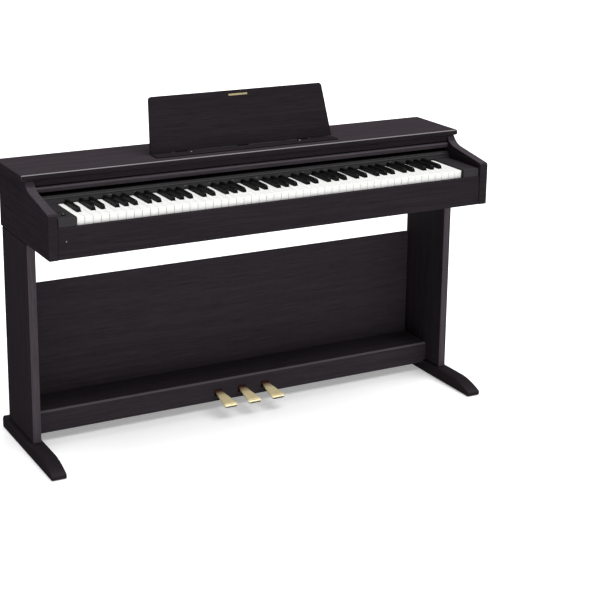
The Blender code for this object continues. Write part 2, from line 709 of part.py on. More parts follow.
def key_cover(looks):
    """The cover panel and its grip bar, in a frame that leans along the slide."""
    frame = empty("cover_slide", (0, TOP_FRONT - COVER_FLOAT, COVER_START_Z), COVER_SLOPE)
    half = ARM_IN - COVER_SIDE_GAP
    bm = box((-half, COVER_BAR_DEPTH + GAP, COVER_FLOAT), (half, COVER_LENGTH, COVER_FLOAT + COVER_THICK))
    place("key_cover", bm, looks["cabinet"], parent=frame, local=True)
    depth, height, radius, edge = COVER_BAR_DEPTH, COVER_BAR_HEIGHT, COVER_BAR_ROUND, COVER_BAR_EDGE
    outline = [(0.0, edge), (0.0, height - radius)]
    outline += arc(radius, height - radius, radius, 180, 90, 4)[1:]
    outline += [(depth - edge, height), (depth, height - edge), (depth, 0.0), (edge, 0.0)]
    place("cover_bar", prism(outline, -half, half), looks["cabinet"], parent=frame, local=True)


def music_rest(looks):
    """The leaning rest with its hinge, ledge and two folding struts."""
    lean = (math.sin(REST_LEAN), math.cos(REST_LEAN))
    front = REST_THICK - REST_BACK
    pin_z = HEIGHT + REST_PIN_HEIGHT
    face_z = pin_z + front * lean[0]
    pin_y = REST_FOOT_Y + (face_z - HEIGHT) * math.tan(REST_LEAN) + front * lean[1]
    half = REST_WIDTH / 2
    slant = math.degrees(math.atan2(REST_TAPER, REST_LENGTH))
    corner_x = half - REST_TAPER - REST_CORNER
    corner_z = REST_LENGTH - REST_CORNER
    outline = [(-half, -REST_HEEL), (half, -REST_HEEL)]
    outline += arc(corner_x, corner_z, REST_CORNER, slant, 90, 5)
    outline += arc(-corner_x, corner_z, REST_CORNER, 90, 180 - slant, 5)
    bm = bmesh.new()
    face = bm.faces.new([bm.verts.new((x, -front, z)) for x, z in outline])
    drawn = bmesh.ops.extrude_face_region(bm, geom=[face])["geom"]
    verts = [item for item in drawn if isinstance(item, bmesh.types.BMVert)]
    bmesh.ops.translate(bm, verts=verts, vec=(0, REST_THICK, 0))
    rest = place("music_rest", bm, looks["cabinet"], (0, pin_y, pin_z), -REST_LEAN, local=True)
    soften(rest, REST_ROUND)

    leaf_low = HEIGHT + GAP
    leaf_y = (pin_y - HINGE_PIN_INSET, pin_y - HINGE_PIN_INSET + HINGE_DEPTH)
    length = HINGE_SPACING + HINGE_KNUCKLE / 2 + HINGE_END
    leaf_box = box((-length, leaf_y[0], leaf_low), (length, leaf_y[1], leaf_low + HINGE_LEAF))
    leaf = place("rest_hinge", leaf_box, looks["steel"], (0, pin_y, pin_z))
    for i in (-1, 0, 1):
        x = i * HINGE_SPACING
        web = arc(pin_y, pin_z, HINGE_RADIUS, -20, 200, 10)
        for way in (-1, 1):
            web.append((pin_y + way * HINGE_RADIUS * HINGE_WEB, leaf_low + HINGE_LEAF / 2))
        knuckle = prism(web, x - HINGE_KNUCKLE / 2, x + HINGE_KNUCKLE / 2)
        cut(leaf, place(f"knuckle_{i + 1}", knuckle, looks["steel"]), "UNION")
        reach = HINGE_KNUCKLE / 2 + HINGE_CLEARANCE
        swing = HINGE_RADIUS + HINGE_CLEARANCE
        notch = box((x - reach, -NOTCH_REACH, -NOTCH_REACH), (x + reach, NOTCH_REACH, swing))
        cut(rest, place(f"knuckle_notch_{i + 1}", notch, looks["steel"], parent=rest, local=True))

    pivot = (REST_BACK - STRUT_INSET, STRUT_HEIGHT)
    drop = REST_PIN_HEIGHT + pivot[1] * lean[1] - pivot[0] * lean[0] - GAP * 2
    strut_length = (drop - STRUT_THICK / 2 * math.sin(STRUT_SPREAD)) / math.cos(STRUT_SPREAD)
    for side, name in ((-1, "left_rest_strut"), (1, "right_rest_strut")):
        x = side * STRUT_SPACING / 2
        reach = STRUT_WIDTH / 2
        hub = arc(0.0, 0.0, STRUT_THICK / 2, 0, 180, 6)
        outline = hub + [(-STRUT_THICK / 2, -strut_length), (STRUT_THICK / 2, -strut_length)]
        place(name, prism(outline, -reach, reach), looks["plastic"], (x, *pivot),
              REST_LEAN + STRUT_SPREAD, parent=rest, local=True)
        reach += POCKET_CLEARANCE
        pocket = box((x - reach, REST_BACK - POCKET_DEPTH, pivot[1] - POCKET_HEEL),
                     (x + reach, REST_BACK + CUT_PAST, pivot[1] + strut_length + POCKET_END))
        cut(rest, place(name + "_pocket", pocket, looks["steel"], parent=rest, local=True))

    ledge_y = TOP_FRONT + LEDGE_SETBACK
    bm = box((-half, ledge_y, HEIGHT + GAP), (half, ledge_y + LEDGE_DEPTH, HEIGHT + GAP + LEDGE_THICK))
    soften(place("rest_ledge", bm, looks["cabinet"], (0, ledge_y, HEIGHT)), REST_ROUND)


def keyboard_layout():
    """Every key from the lowest A to the highest C as (octave, name, left, right, tail left, tail right).

    The tails and the sharps between C and E, and between F and B, share their stretch evenly.
    """
    runs = (("C", "Cs", "D", "Ds", "E"), ("F", "Fs", "G", "Gs", "A", "As", "B"))
    origin = -(NATURALS / 2 + NATURALS_UNDER_LOWEST) * NATURAL_PITCH
    keys = []
    for octave in range(LOWEST_OCTAVE, HIGHEST_OCTAVE + 2):
        left = origin + octave * OCTAVE
        for run in runs:
            naturals = (len(run) + 1) // 2
            tail = (naturals * NATURAL_PITCH - (naturals - 1) * SHARP_SLOT) / naturals
            for i, name in enumerate(run):
                if i % 2:
                    low = left + (i + 1) // 2 * tail + i // 2 * SHARP_SLOT
                    keys.append((octave, name, low, low + SHARP_SLOT, low, low + SHARP_SLOT))
                    continue
                step = i // 2
                low = left + step * NATURAL_PITCH
                tail_low = left + step * (tail + SHARP_SLOT)
                keys.append((octave, name, low, low + NATURAL_PITCH, tail_low, tail_low + tail))
            left += naturals * NATURAL_PITCH
    first = next(i for i, key in enumerate(keys) if key[1] == "A")
    last = max(i for i, key in enumerate(keys) if key[0] == HIGHEST_OCTAVE + 1 and key[1] == "C")
    kept = keys[first:last + 1]
    lowest = kept[0]
    kept[0] = (*lowest[:4], lowest[2], lowest[5])
    highest = kept[-1]
    kept[-1] = (*highest[:4], highest[4], highest[3])
    return kept


def natural_edges():
    """The left and right ends of the row of keys, without the gap between keys."""
    half = NATURALS * NATURAL_PITCH / 2 - KEY_GAP / 2
    return -half, half


def natural_solid(keys):
    """One natural, or several joined by a bar under their tails."""
    half_gap = KEY_GAP / 2
    notch_y = SHARP_FRONT - SHARP_SIDE_GAP
    bar_y = (PIVOT_Y - PIVOT_INSET, PIVOT_Y - PIVOT_INSET + BAR_DEPTH)
    bar_top = KEY_BOTTOM + BAR_HEIGHT
    bar_x = (keys[0][4] + half_gap, keys[-1][5] - half_gap)

    def inside(x, y, z):
        if len(keys) > 1 and between(y, *bar_y) and z < bar_top and between(x, *bar_x):
            return True
        for key in keys:
            if y < notch_y and between(x, key[2] + half_gap, key[3] - half_gap):
                return True
            if y > notch_y and between(x, key[4] + half_gap, key[5] - half_gap):
                return True
        return False

    xs = []
    for key in keys:
        xs += [key[2] + half_gap, key[3] - half_gap, key[4] + half_gap, key[5] - half_gap]
    return cells(xs, [KEY_FRONT, notch_y, *bar_y, KEY_END], [KEY_BOTTOM, bar_top, KEY_TOP], inside)


def sharp_solid(keys):
    """One sharp with its stick, or several joined by a bar behind the naturals."""
    bottom = KEY_TOP - SHARP_STICK_DROP
    stick_top = KEY_TOP - STICK_TOP_DROP
    cap_end = FALLBOARD_FRONT - SHARP_SIDE_GAP * 1.5
    bar_y = (KEY_END + SHARP_SIDE_GAP * 2, KEY_END + SHARP_SIDE_GAP * 2 + BAR_DEPTH)
    bar_x = (keys[0][2] + SHARP_SIDE_GAP, keys[-1][3] - SHARP_SIDE_GAP)

    def inside(x, y, z):
        if len(keys) > 1 and y > bar_y[0] and z < stick_top and between(x, *bar_x):
            return True
        for key in keys:
            if between(x, key[2] + SHARP_SIDE_GAP, key[3] - SHARP_SIDE_GAP):
                return z < stick_top or y < cap_end
        return False

    xs = []
    for key in keys:
        xs += [key[2] + SHARP_SIDE_GAP, key[3] - SHARP_SIDE_GAP]
    ys = [SHARP_FRONT, cap_end, *bar_y]
    return cells(xs, ys, [bottom, stick_top, KEY_TOP + SHARP_RISE], inside)


def keys(looks):
    """The middle octave as single keys, and the rest as one bank of naturals and one of sharps each."""
    layout = keyboard_layout()
    banks = ((0, 1), (2, 2), (3, 3), (5, 5), (6, 6), (7, 8))
    for low, high in banks:
        members = [key for key in layout if low <= key[0] <= high]
        label = f"octave_{min(high, HIGHEST_OCTAVE)}"
        naturals = [key for key in members if len(key[1]) == 1]
        sharps = [key for key in members if len(key[1]) == 2]
        origin = (naturals[0][2], PIVOT_Y, PIVOT_Z)
        place(f"naturals_{label}", natural_solid(naturals), looks["ivory"], origin)
        place(f"sharps_{label}", sharp_solid(sharps), looks["ebony"], origin)
    for key in (key for key in layout if key[0] == SINGLE_OCTAVE):
        origin = ((key[2] + key[3]) / 2, PIVOT_Y, PIVOT_Z)
        is_natural = len(key[1]) == 1
        make = natural_solid if is_natural else sharp_solid
        look = looks["ivory"] if is_natural else looks["ebony"]
        name = f"key_{key[1].replace('s', '_sharp')}{SINGLE_OCTAVE}"
        place(name, make([key]), look, origin)


def inside_parts(looks):
    """Key chassis, main circuit board, speakers and the socket fittings."""
    half = natural_edges()[1] + CHEEK_GAP - GAP * 3
    low = BED_TOP + GAP
    front = (KEY_FRONT + CHASSIS_SETBACK, KEY_FRONT + CHASSIS_SETBACK + CHASSIS_RAIL)
    rear_end = PIVOT_Y + CHASSIS_RAIL
    rear = (PIVOT_Y - CHASSIS_RAIL / 2, rear_end)
    front_top = KEY_BOTTOM - CHASSIS_FRONT_DROP
    rear_top = KEY_BOTTOM - CHASSIS_REAR_DROP

    def chassis(x, y, z):
        if z < low + CHASSIS_WALL or abs(x) > half - CHASSIS_SIDE and z < front_top:
            return True
        if between(y, *front):
            return z < front_top
        return between(y, *rear)

    bm = cells([-half, -half + CHASSIS_SIDE, half - CHASSIS_SIDE, half], [*front, *rear],
               [low, low + CHASSIS_WALL, front_top, rear_top], chassis)
    place("key_chassis", bm, looks["steel"], (0, front[0], low))

    for side, name in ((-1, "left_speaker"), (1, "right_speaker")):
        x, y = speaker_place(side)
        cone = SPEAKER_HOLE - SPEAKER_LIP
        half_lip = SPEAKER_LIP / 2
        profile = [(SPEAKER_CAP, SPEAKER_CONE_HEIGHT), (SPEAKER_CAP_EDGE, SPEAKER_CONE_HEIGHT),
                   (cone, half_lip), (cone + half_lip, 0.0), (SPEAKER_RADIUS, 0.0),
                   (SPEAKER_RADIUS, SPEAKER_FLANGE), (SPEAKER_HOLE, SPEAKER_FLANGE + half_lip / 2),
                   (SPEAKER_BASKET, SPEAKER_BASKET_HEIGHT), (SPEAKER_MAGNET, SPEAKER_BASKET_HEIGHT),
                   (SPEAKER_MAGNET, SPEAKER_HEIGHT), (SPEAKER_CAP, SPEAKER_HEIGHT)]
        at = (x, y, BED_TOP + GAP)
        place(name, turned(profile, 32), looks["speaker"], at, local=True, smooth=True)

    board_y = (BACK_IN - CIRCUIT_BACK_GAP - CIRCUIT_DEPTH, BACK_IN - CIRCUIT_BACK_GAP)
    board_z = (BED_TOP + CIRCUIT_RISE, BED_TOP + CIRCUIT_RISE + CIRCUIT_THICK)
    half = CIRCUIT_WIDTH / 2
    middle = sum(board_y) / 2
    post = 2 * POST

    def circuit(x, y, z):
        near_end = abs(x) > half - post
        near_side = abs(y - middle) > CIRCUIT_DEPTH / 2 - post
        if z < board_z[0]:
            return near_end and near_side
        if z < board_z[1]:
            return True
        return abs(y - middle) < CHIP_HALF_DEPTH and between(abs(x), *CHIP_SPAN)

    ys = [board_y[0], board_y[0] + post, middle - CHIP_HALF_DEPTH, middle + CHIP_HALF_DEPTH,
          board_y[1] - post, board_y[1]]
    xs = []
    for way in (-1, 1):
        xs += [way * half, way * (half - post), way * CHIP_SPAN[0], way * CHIP_SPAN[1]]
    zs = [BED_TOP + GAP, *board_z, board_z[1] + CHIP_HEIGHT]
    place("main_board", cells(xs, ys, zs, circuit), looks["circuit"], (0, middle, BED_TOP))

    left = -ARM_IN + PHONES_SIDE_GAP
    front = SLIP_FRONT + PHONES_SETBACK
    high = CASE_BOTTOM - GAP
    bm = box((left, front, high - PHONES_HEIGHT), (left + PHONES_WIDTH, front + PHONES_DEPTH, high))
    phones = place("headphone_box", bm, looks["plastic"], (left, front, high))
    soften(phones, PHONES_ROUND)
    for i in (-1, 1):
        at = (left + PHONES_WIDTH / 2 + i * JACK_SPACING / 2, front, high - PHONES_HEIGHT / 2)
        bore_along_y(phones, f"phones_jack_{i + 1}", JACK_RADIUS, JACK_DEPTH, at, looks)


def bore_along_y(obj, name, radius, depth, at, looks):
    """Drill a round hole from a front face at the given point, towards +Y."""
    bore = turned([(radius, -depth), (radius, CUT_PAST)], BORE_SIDES)
    cut(obj, place(name, bore, looks["steel"], at, math.radians(90), local=True))


def socket_plate(looks):
    """The plate in the rear panel: power inlet, line jacks, data socket and pedal connector."""
    half_x = SOCKET_PLATE_WIDTH / 2
    low_z = CASE_BOTTOM + SOCKET_PLATE_RISE
    high_z = low_z + SOCKET_PLATE_HEIGHT
    middle_z = (low_z + high_z) / 2
    wide_x = [side * SOCKET_PITCH * 1.5 for side in (-1, 1)]

    def plate(x, y, z):
        in_wide = any(abs(x - centre) < WIDE_SOCKET_WIDTH / 2 for centre in wide_x)
        return not (in_wide and abs(z - middle_z) < WIDE_SOCKET_HEIGHT / 2)

    xs = [-half_x, half_x]
    for centre in wide_x:
        xs += [centre - WIDE_SOCKET_WIDTH / 2, centre + WIDE_SOCKET_WIDTH / 2]
    zs = [low_z, middle_z - WIDE_SOCKET_HEIGHT / 2, middle_z + WIDE_SOCKET_HEIGHT / 2, high_z]
    bm = cells(xs, [CASE_BACK - SOCKET_PLATE_THICK, CASE_BACK], zs, plate)
    made = place("socket_plate", bm, looks["plastic"], (0, CASE_BACK, middle_z))
    rounds = ((-2.2, POWER_JACK_RADIUS), (-0.5, JACK_RADIUS), (0.5, JACK_RADIUS))
    for step, radius in rounds:
        at = (step * SOCKET_PITCH, CASE_BACK - SOCKET_PLATE_THICK, middle_z)
        bore_along_y(made, f"socket_at_{step}", radius, SOCKET_PLATE_THICK * 2, at, looks)


def main():
    clear_scene()
    looks = {
        "cabinet": finish("dark wood film", (0.022, 0.020, 0.022), 0.42),
        "back_board": finish("dark board", (0.018, 0.017, 0.018), 0.6),
        "panel": finish("satin black panel", (0.020, 0.020, 0.021), 0.38),
        "ivory": finish("white key", (0.86, 0.86, 0.83), 0.25),
        "ebony": finish("black key", (0.012, 0.012, 0.013), 0.35),
        "brass": finish("polished brass", (0.80, 0.58, 0.24), 0.18, 1.0),
        "steel": finish("zinc plated steel", (0.55, 0.55, 0.56), 0.35, 1.0),
        "plastic": finish("black plastic", (0.025, 0.025, 0.027), 0.45),
        "speaker": finish("speaker paper", (0.03, 0.03, 0.03), 0.8),
        "circuit": finish("green circuit board", (0.02, 0.14, 0.06), 0.5),
    }
    stand(looks)
    pedal_box(looks)
    pedals(looks)
    side_arms(looks)
    upper_case(looks)
    cheeks(looks)
    controls(looks)
    fallboard(looks)
    key_cover(looks)
    music_rest(looks)
    keys(looks)
    inside_parts(looks)
    socket_plate(looks)


main()
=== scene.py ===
"""A digital piano on its panel stand, finished piece by piece in the order it is put together.

Metres, +X is the treble side, the keyboard faces -Y and +Z is up. Every piece is worked out from
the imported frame, and rides on the frame's own bodies.
"""
import json
import math

import bmesh
import bpy
from mathutils import Matrix, Vector


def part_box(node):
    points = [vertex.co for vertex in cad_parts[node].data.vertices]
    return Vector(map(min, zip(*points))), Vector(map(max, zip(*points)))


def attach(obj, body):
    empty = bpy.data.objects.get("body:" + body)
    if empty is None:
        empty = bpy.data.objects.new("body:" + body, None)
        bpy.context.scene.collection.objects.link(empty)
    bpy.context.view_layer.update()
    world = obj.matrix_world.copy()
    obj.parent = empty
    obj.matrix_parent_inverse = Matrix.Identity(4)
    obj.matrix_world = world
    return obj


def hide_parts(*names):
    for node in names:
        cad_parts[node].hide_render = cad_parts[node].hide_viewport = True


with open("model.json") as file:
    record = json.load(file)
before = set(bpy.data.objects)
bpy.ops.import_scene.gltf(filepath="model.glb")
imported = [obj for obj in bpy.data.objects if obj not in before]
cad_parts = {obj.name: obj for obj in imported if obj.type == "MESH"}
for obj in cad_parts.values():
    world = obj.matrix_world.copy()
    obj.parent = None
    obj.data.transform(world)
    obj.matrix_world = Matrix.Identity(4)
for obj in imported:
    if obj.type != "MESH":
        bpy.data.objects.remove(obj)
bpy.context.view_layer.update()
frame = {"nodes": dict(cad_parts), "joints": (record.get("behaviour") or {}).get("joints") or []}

# ------------------------------------------------------------------------------------------
# Feet. Two blocks of particle board, milled to a long low toe and wrapped in dark wood-grain
# film. Each stands on four rubber pads that are glued under it.

FILM_DARK = (0.0185, 0.0150, 0.0178, 1.0)
FILM_LIGHT = (0.0450, 0.0375, 0.0440, 1.0)
# Paler colour painted onto the film's rounded front edges: a painted highlight.
PAINTED_EDGE_HIGHLIGHT = (0.210, 0.195, 0.205, 1.0)
FILM_EDGE_EASE = 0.0009
FIGURE_LENGTH = 0.45
FIGURE_WIDTH = 0.011
GRAIN_LENGTH = 0.090
GRAIN_WIDTH = 0.0021
PORE_LENGTH = 0.028
PORE_WIDTH = 0.0007
PORE_DEPTH = 0.00007
FIGURE_SHARE = 0.22
GRAIN_SHARE = 0.40
PORE_SHARE = 0.38
WELD_DISTANCE = 1e-5
SHARP_TURN = math.radians(30)
PAD_RADIUS = 0.010
PAD_HEIGHT = 0.0015
PAD_INSET = 0.030
PAD_PROUD = 0.8
PAD_STATION = 0.38
RUBBER_COLOUR = (0.012, 0.012, 0.012, 1.0)


class Socket:
    """One output in a material's nodes. Arithmetic on it adds Math nodes."""

    def __init__(self, material, out):
        self.material = material
        self.out = out

    def fill(self, node, inputs):
        for name, value in inputs.items():
            if isinstance(value, Socket):
                self.material.node_tree.links.new(value.out, node.inputs[name])
            else:
                node.inputs[name].default_value = value

    def node(self, kind, settings=None, inputs=None, output=0):
        """Add a node: its settings first, then the values or links of its sockets."""
        made = self.material.node_tree.nodes.new("ShaderNode" + kind)
        for name, value in (settings or {}).items():
            setattr(made, name, value)
        self.fill(made, inputs or {})
        return Socket(self.material, made.outputs[output])

    def math(self, operation, *values):
        return self.node("Math", {"operation": operation}, dict(enumerate(values)))

    def __add__(self, other):
        return self.math("ADD", self, other)

    def __sub__(self, other):
        return self.math("SUBTRACT", self, other)

    def __rsub__(self, other):
        return self.math("SUBTRACT", other, self)

    def __mul__(self, other):
        return self.math("MULTIPLY", self, other)

    __radd__ = __add__
    __rmul__ = __mul__

    def fade(self, low, high):
        """0 up to low, 1 from high, and a smooth step between them."""
        ends = {"Value": self, "From Min": low, "From Max": high}
        return self.node("MapRange", {"interpolation_type": "SMOOTHSTEP"}, ends)

    def blend(self, first, second):
        """A colour: first where this is 0, second where it is 1."""
        return self.node("Mix", {"data_type": "RGBA"}, {0: self, 6: first, 7: second}, 2)

    def noise(self, lengths, detail=2.0):
        """Cloudy noise, from 0 to 1, with its own length along each axis, in metres."""
        scales = [1 / length for length in lengths]
        stretched = self.node("VectorMath", {"operation": "MULTIPLY"}, {0: self, 1: scales})
        return self.node("TexNoise", {}, {"Vector": stretched, "Scale": 1.0, "Detail": detail})

    def bump(self, depth):
        return self.node("Bump", {}, {"Height": self, "Distance": depth})

    def edge_highlight_mask(self):
        """1 where a rounded edge faces forward and up, and 0 on flat faces: the mask of the painted
        edge highlight.
        """
        normal = self.node("TexCoord", output="Normal")
        x, y, z = [normal.node("SeparateXYZ", {}, {0: normal}, i) for i in range(3)]
        return z.fade(0.12, 0.40) * (1 - z).fade(0.02, 0.12) * (0 - y).fade(0.12, 0.40)

    def surface(self, inputs):
        """Give these inputs to the material's surface, and return the material."""
        self.fill(self.material.node_tree.nodes["Principled BSDF"], inputs)
        return self.material


def new_material(name):
    """A new material, as the socket that holds a point's place on the piano in metres."""
    material = bpy.data.materials.new(name)
    material.use_nodes = True
    where = material.node_tree.nodes.new("ShaderNodeTexCoord")
    return Socket(material, where.outputs["Object"])


# edge sets the strength of the painted highlight on rounded front edges.
def wood_film(name, along, tone=1.0, roughness=0.42, edge=0.04, gloss=0.0):
    """Printed and embossed wood film, its grain along one axis of the piano. The print is
    painted paler on rounded front edges, a painted highlight whose strength is edge."""
    place = new_material(name)
    axis = "xyz".index(along)

    def drawn_out(width, length):
        lengths = [width] * 3
        lengths[axis] = length
        return lengths

    figure = place.noise(drawn_out(FIGURE_WIDTH, FIGURE_LENGTH), 3.0)
    grain = place.noise(drawn_out(GRAIN_WIDTH, GRAIN_LENGTH), 3.0)
    pores = place.noise(drawn_out(PORE_WIDTH, PORE_LENGTH), 2.0).fade(0.54, 0.70)
    handling = place.noise([0.12] * 3, 3.0)
    lift = [value * tone for value in FILM_LIGHT[:3]] + [1.0]
    dark = [value * tone for value in FILM_DARK[:3]] + [1.0]
    shade = (figure.fade(0.30, 0.70) * FIGURE_SHARE + grain.fade(0.30, 0.70) * GRAIN_SHARE
             + (1 - pores) * PORE_SHARE)
    return place.surface({
        # Rounded front edges blend towards the paler edge colour: a painted highlight.
        "Base Color": (place.edge_highlight_mask() * edge).blend(shade.blend(dark, lift), PAINTED_EDGE_HIGHLIGHT),
        "Roughness": roughness - 0.05 + pores * 0.16 + handling * 0.10,
        "Normal": (grain * 0.25 - pores).bump(PORE_DEPTH),
        "Specular IOR Level": gloss,
    })


def skin(node):
    """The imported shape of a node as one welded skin, its flat faces whole."""
    bm = bmesh.new()
    bm.from_mesh(frame["nodes"][node].data)
    bmesh.ops.remove_doubles(bm, verts=bm.verts, dist=WELD_DISTANCE)
    bmesh.ops.dissolve_limit(bm, angle_limit=math.radians(1), verts=bm.verts, edges=bm.edges)
    return bm


def round_over(bm, edges, radius, segments, clamp=False):
    bmesh.ops.bevel(bm, geom=edges, offset=radius, segments=segments, profile=0.5,
                    affect="EDGES", clamp_overlap=clamp)


def ease_edges(bm, radius, segments=2):
    """Round over every edge that turns by more than a third of a right angle."""
    sharp = [edge for edge in bm.edges
             if len(edge.link_faces) == 2 and edge.calc_face_angle(0.0) > SHARP_TURN]
    round_over(bm, sharp, radius, segments, True)


def new_object(name, data):
    thing = bpy.data.objects.new(name, data)
    bpy.context.scene.collection.objects.link(thing)
    return thing


def make_piece(name, bm, material, body="cabinet", replaced=(), sharp=35):
    """One piece, in place, that rides on a body and takes the material it is given."""
    bmesh.ops.recalc_face_normals(bm, faces=bm.faces)
    mesh = bpy.data.meshes.new(name)
    bm.to_mesh(mesh)
    bm.free()
    mesh.shade_smooth()
    mesh.set_sharp_from_angle(angle=math.radians(sharp))
    mesh.materials.append(material)
    piece = new_object(name, mesh)
    even = piece.modifiers.new("even shading", "WEIGHTED_NORMAL")
    even.keep_sharp = True
    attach(piece, body)
    if replaced:
        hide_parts(*replaced)
    return piece


def finished_board(node, material, body="cabinet", ease=FILM_EDGE_EASE, sharp=50):
    """A board as it leaves the wrapping line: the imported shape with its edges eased."""
    bm = skin(node)
    ease_edges(bm, ease)
    return make_piece(node + "_board", bm, material, body, [node], sharp)


def turned_rings(bm, profile, sides, at, towards):
    """Rings of vertices about a line from at, from (radius, height) or, where the section isn't
    round, (radius, height, section) with the section a share of radius at an angle."""
    turn = Vector((0, 0, 1)).rotation_difference(Vector(towards)).to_matrix().to_4x4()
    place = Matrix.Translation(at) @ turn
    rings = []
    for radius, height, *section in profile:
        ring = []
        for i in range(sides):
            angle = math.tau * i / sides
            reach = radius * section[0](angle) if section else radius
            point = Vector((reach * math.cos(angle), reach * math.sin(angle), height))
            ring.append(bm.verts.new(place @ point))
        rings.append(ring)
    return rings


def turned(bm, profile, sides, at, towards=(0, 0, 1)):
    """Add a solid turned about a line from at."""
    join_rings(bm, turned_rings(bm, profile, sides, at, towards))


def join_rings(bm, rings):
    """Skin over rings of vertices, and close the first and the last."""
    count = len(rings[0])
    for near, far in zip(rings, rings[1:]):
        for i in range(count):
            bm.faces.new((near[i], near[(i + 1) % count], far[(i + 1) % count], far[i]))
    bm.faces.new(rings[0][::-1])
    bm.faces.new(rings[-1])


def block(bm, low, high):
    """Add a box between two corners, and return its vertices."""
    middle = (Vector(low) + Vector(high)) / 2
    size = Vector(high) - Vector(low)
    matrix = Matrix.Translation(middle) @ Matrix.Diagonal((*size, 1.0))
    return bmesh.ops.create_cube(bm, size=1.0, matrix=matrix)["verts"]


def rubber(name):
    place = new_material(name)
    dust = place.noise([0.004] * 3, 4.0)
    return place.surface({
        "Base Color": dust.fade(0.45, 0.8).blend(RUBBER_COLOUR, (0.035, 0.034, 0.033, 1.0)),
        "Roughness": 0.75 + dust * 0.15,
        "Normal": dust.bump(0.00008),
    })


film_x = wood_film("wood_film_along_x", "x", tone=0.50)
film_y = wood_film("wood_film_along_y", "y", tone=0.46)
film_z = wood_film("wood_film_along_z", "z", tone=0.50)
edge_film = wood_film("edge_film", "z", tone=1.45, roughness=0.46, gloss=0.02)
pad_rubber = rubber("pad_rubber")

for side in ("left", "right"):
    low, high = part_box(side + "_foot")
    bm = skin(side + "_foot")
    for vert in bm.verts:
        vert.co.z = max(vert.co.z, PAD_HEIGHT * PAD_PROUD)
    ease_edges(bm, FILM_EDGE_EASE)
    make_piece(side + "_foot_block", bm, film_y, replaced=[side + "_foot"],
               sharp=50)
    bm = bmesh.new()
    station = PAD_STATION * (high.y - low.y)
    for y in (low.y + PAD_INSET, low.y + station, high.y - station, high.y - PAD_INSET):
        profile = [(PAD_RADIUS * 0.92, 0.0), (PAD_RADIUS, PAD_HEIGHT * 0.4),
                   (PAD_RADIUS, PAD_HEIGHT)]
        turned(bm, profile, 24, ((low.x + high.x) / 2, y, 0.0))
    make_piece(side + "_foot_pads", bm, pad_rubber)

# ------------------------------------------------------------------------------------------
# Side panels of the stand. Film-wrapped board with a greyer band along the front edge. Cams
# inside each panel draw it onto the feet and the case, and plastic caps close their holes.

CAP_RADIUS = 0.0085
CAP_HEIGHT = 0.0009
CAP_INSET = 0.034
CAP_SUNK = 0.0005


def band_front(piece, material, chosen):
    """Give the faces that pass the test the material of the edge band."""
    piece.data.materials.append(material)
    for face in piece.data.polygons:
        if chosen(face.normal):
            face.material_index = len(piece.data.materials) - 1


def moulded_plastic(name, colour, roughness=0.45, grain=0.0006, depth=0.00003):
    """Moulded plastic with the fine spark texture of its tool."""
    place = new_material(name)
    texture = place.noise([grain] * 3, 2.0)
    handling = place.noise([0.05] * 3, 3.0)
    lift = [min(1.0, value * 1.5 + 0.002) for value in colour[:3]] + [1.0]
    return place.surface({
        "Base Color": texture.fade(0.35, 0.75).blend(colour, lift),
        "Roughness": roughness - 0.06 + handling * 0.16,
        "Normal": texture.bump(depth),
        "Specular IOR Level": 0.15,
    })


cap_plastic = moulded_plastic("cap_plastic", (0.010, 0.0095, 0.010, 1.0), 0.5)

for side, inward in (("left", 1), ("right", -1)):
    panel = finished_board(side + "_leg_panel", film_z)
    band_front(panel, edge_film, lambda normal: normal.y < -0.6)
    low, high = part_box(side + "_leg_panel")
    inner = high.x if inward > 0 else low.x
    bm = bmesh.new()
    for z in (low.z + CAP_INSET, high.z - CAP_INSET):
        for y in (low.y + CAP_INSET, high.y - 2 * CAP_INSET):
            profile = [(CAP_RADIUS, -CAP_SUNK), (CAP_RADIUS, CAP_HEIGHT * 0.6),
                       (CAP_RADIUS * 0.92, CAP_HEIGHT), (CAP_RADIUS * 0.3, CAP_HEIGHT)]
            turned(bm, profile, 28, (inner, y, z), (inward, 0, 0))
    make_piece(side + "_cam_caps", bm, cap_plastic)

# ------------------------------------------------------------------------------------------
# Modesty panel. A thin board with a duller film, let in between the side panels and screwed
# from behind through steel angles. The duller film is printed lighter, as a painted sheen.

ANGLE_LEG = 0.024
ANGLE_THICK = 0.0016
ANGLE_HEIGHT = 0.045
ANGLE_LAP = 0.0006
ANGLE_EASE = 0.0003
ANGLE_FOOT = 0.10
ANGLE_TOP = 0.07
SCREW_RADIUS = 0.0038
SCREW_SUNK = 0.0004
SCREW_ACROSS = 0.55
SCREW_SPREAD = 0.3
RECESS_SHARE = 0.28


def cross(angle):
    """The section of a cross recess, as a share of its radius."""
    off = abs((angle + math.pi / 4) % (math.pi / 2) - math.pi / 4)
    return min(1.0, RECESS_SHARE / max(math.sin(off), RECESS_SHARE))


def screw_head(bm, at, towards, radius=SCREW_RADIUS):
    """Add a pan head with a cross recess."""
    profile = [(radius, -SCREW_SUNK), (radius, radius * 0.22), (radius * 0.86, radius * 0.46),
               (radius * 0.62, radius * 0.56), (radius * 0.52, radius * 0.57, cross),
               (radius * 0.40, radius * 0.12, cross)]
    turned(bm, profile, 24, at, towards)


def brushed_metal(name, colour, roughness, grain=(0.0004, 0.0004, 0.0004), depth=0.000015):
    """Metal with a fine surface, a little uneven in gloss."""
    place = new_material(name)
    lines = place.noise(grain, 3.0)
    smears = place.noise([0.03] * 3, 4.0)
    duller = [value * 0.78 for value in colour[:3]] + [1.0]
    return place.surface({
        "Base Color": smears.fade(0.35, 0.75).blend(colour, duller),
        "Metallic": 1.0,
        "Roughness": roughness + lines * 0.10 + smears * 0.08 - 0.07,
        "Normal": lines.bump(depth),
    })


# Printed lighter than the other films, as a painted sheen; the key bed and the back of the case
# take it too.
dull_painted_sheen_film = wood_film("dull_film_along_x", "x", tone=0.84, roughness=0.52)
zinc = brushed_metal("zinc_plate", (0.60, 0.60, 0.62, 1.0), 0.36)
black_screws = brushed_metal("blackened_screws", (0.06, 0.06, 0.065, 1.0), 0.42)

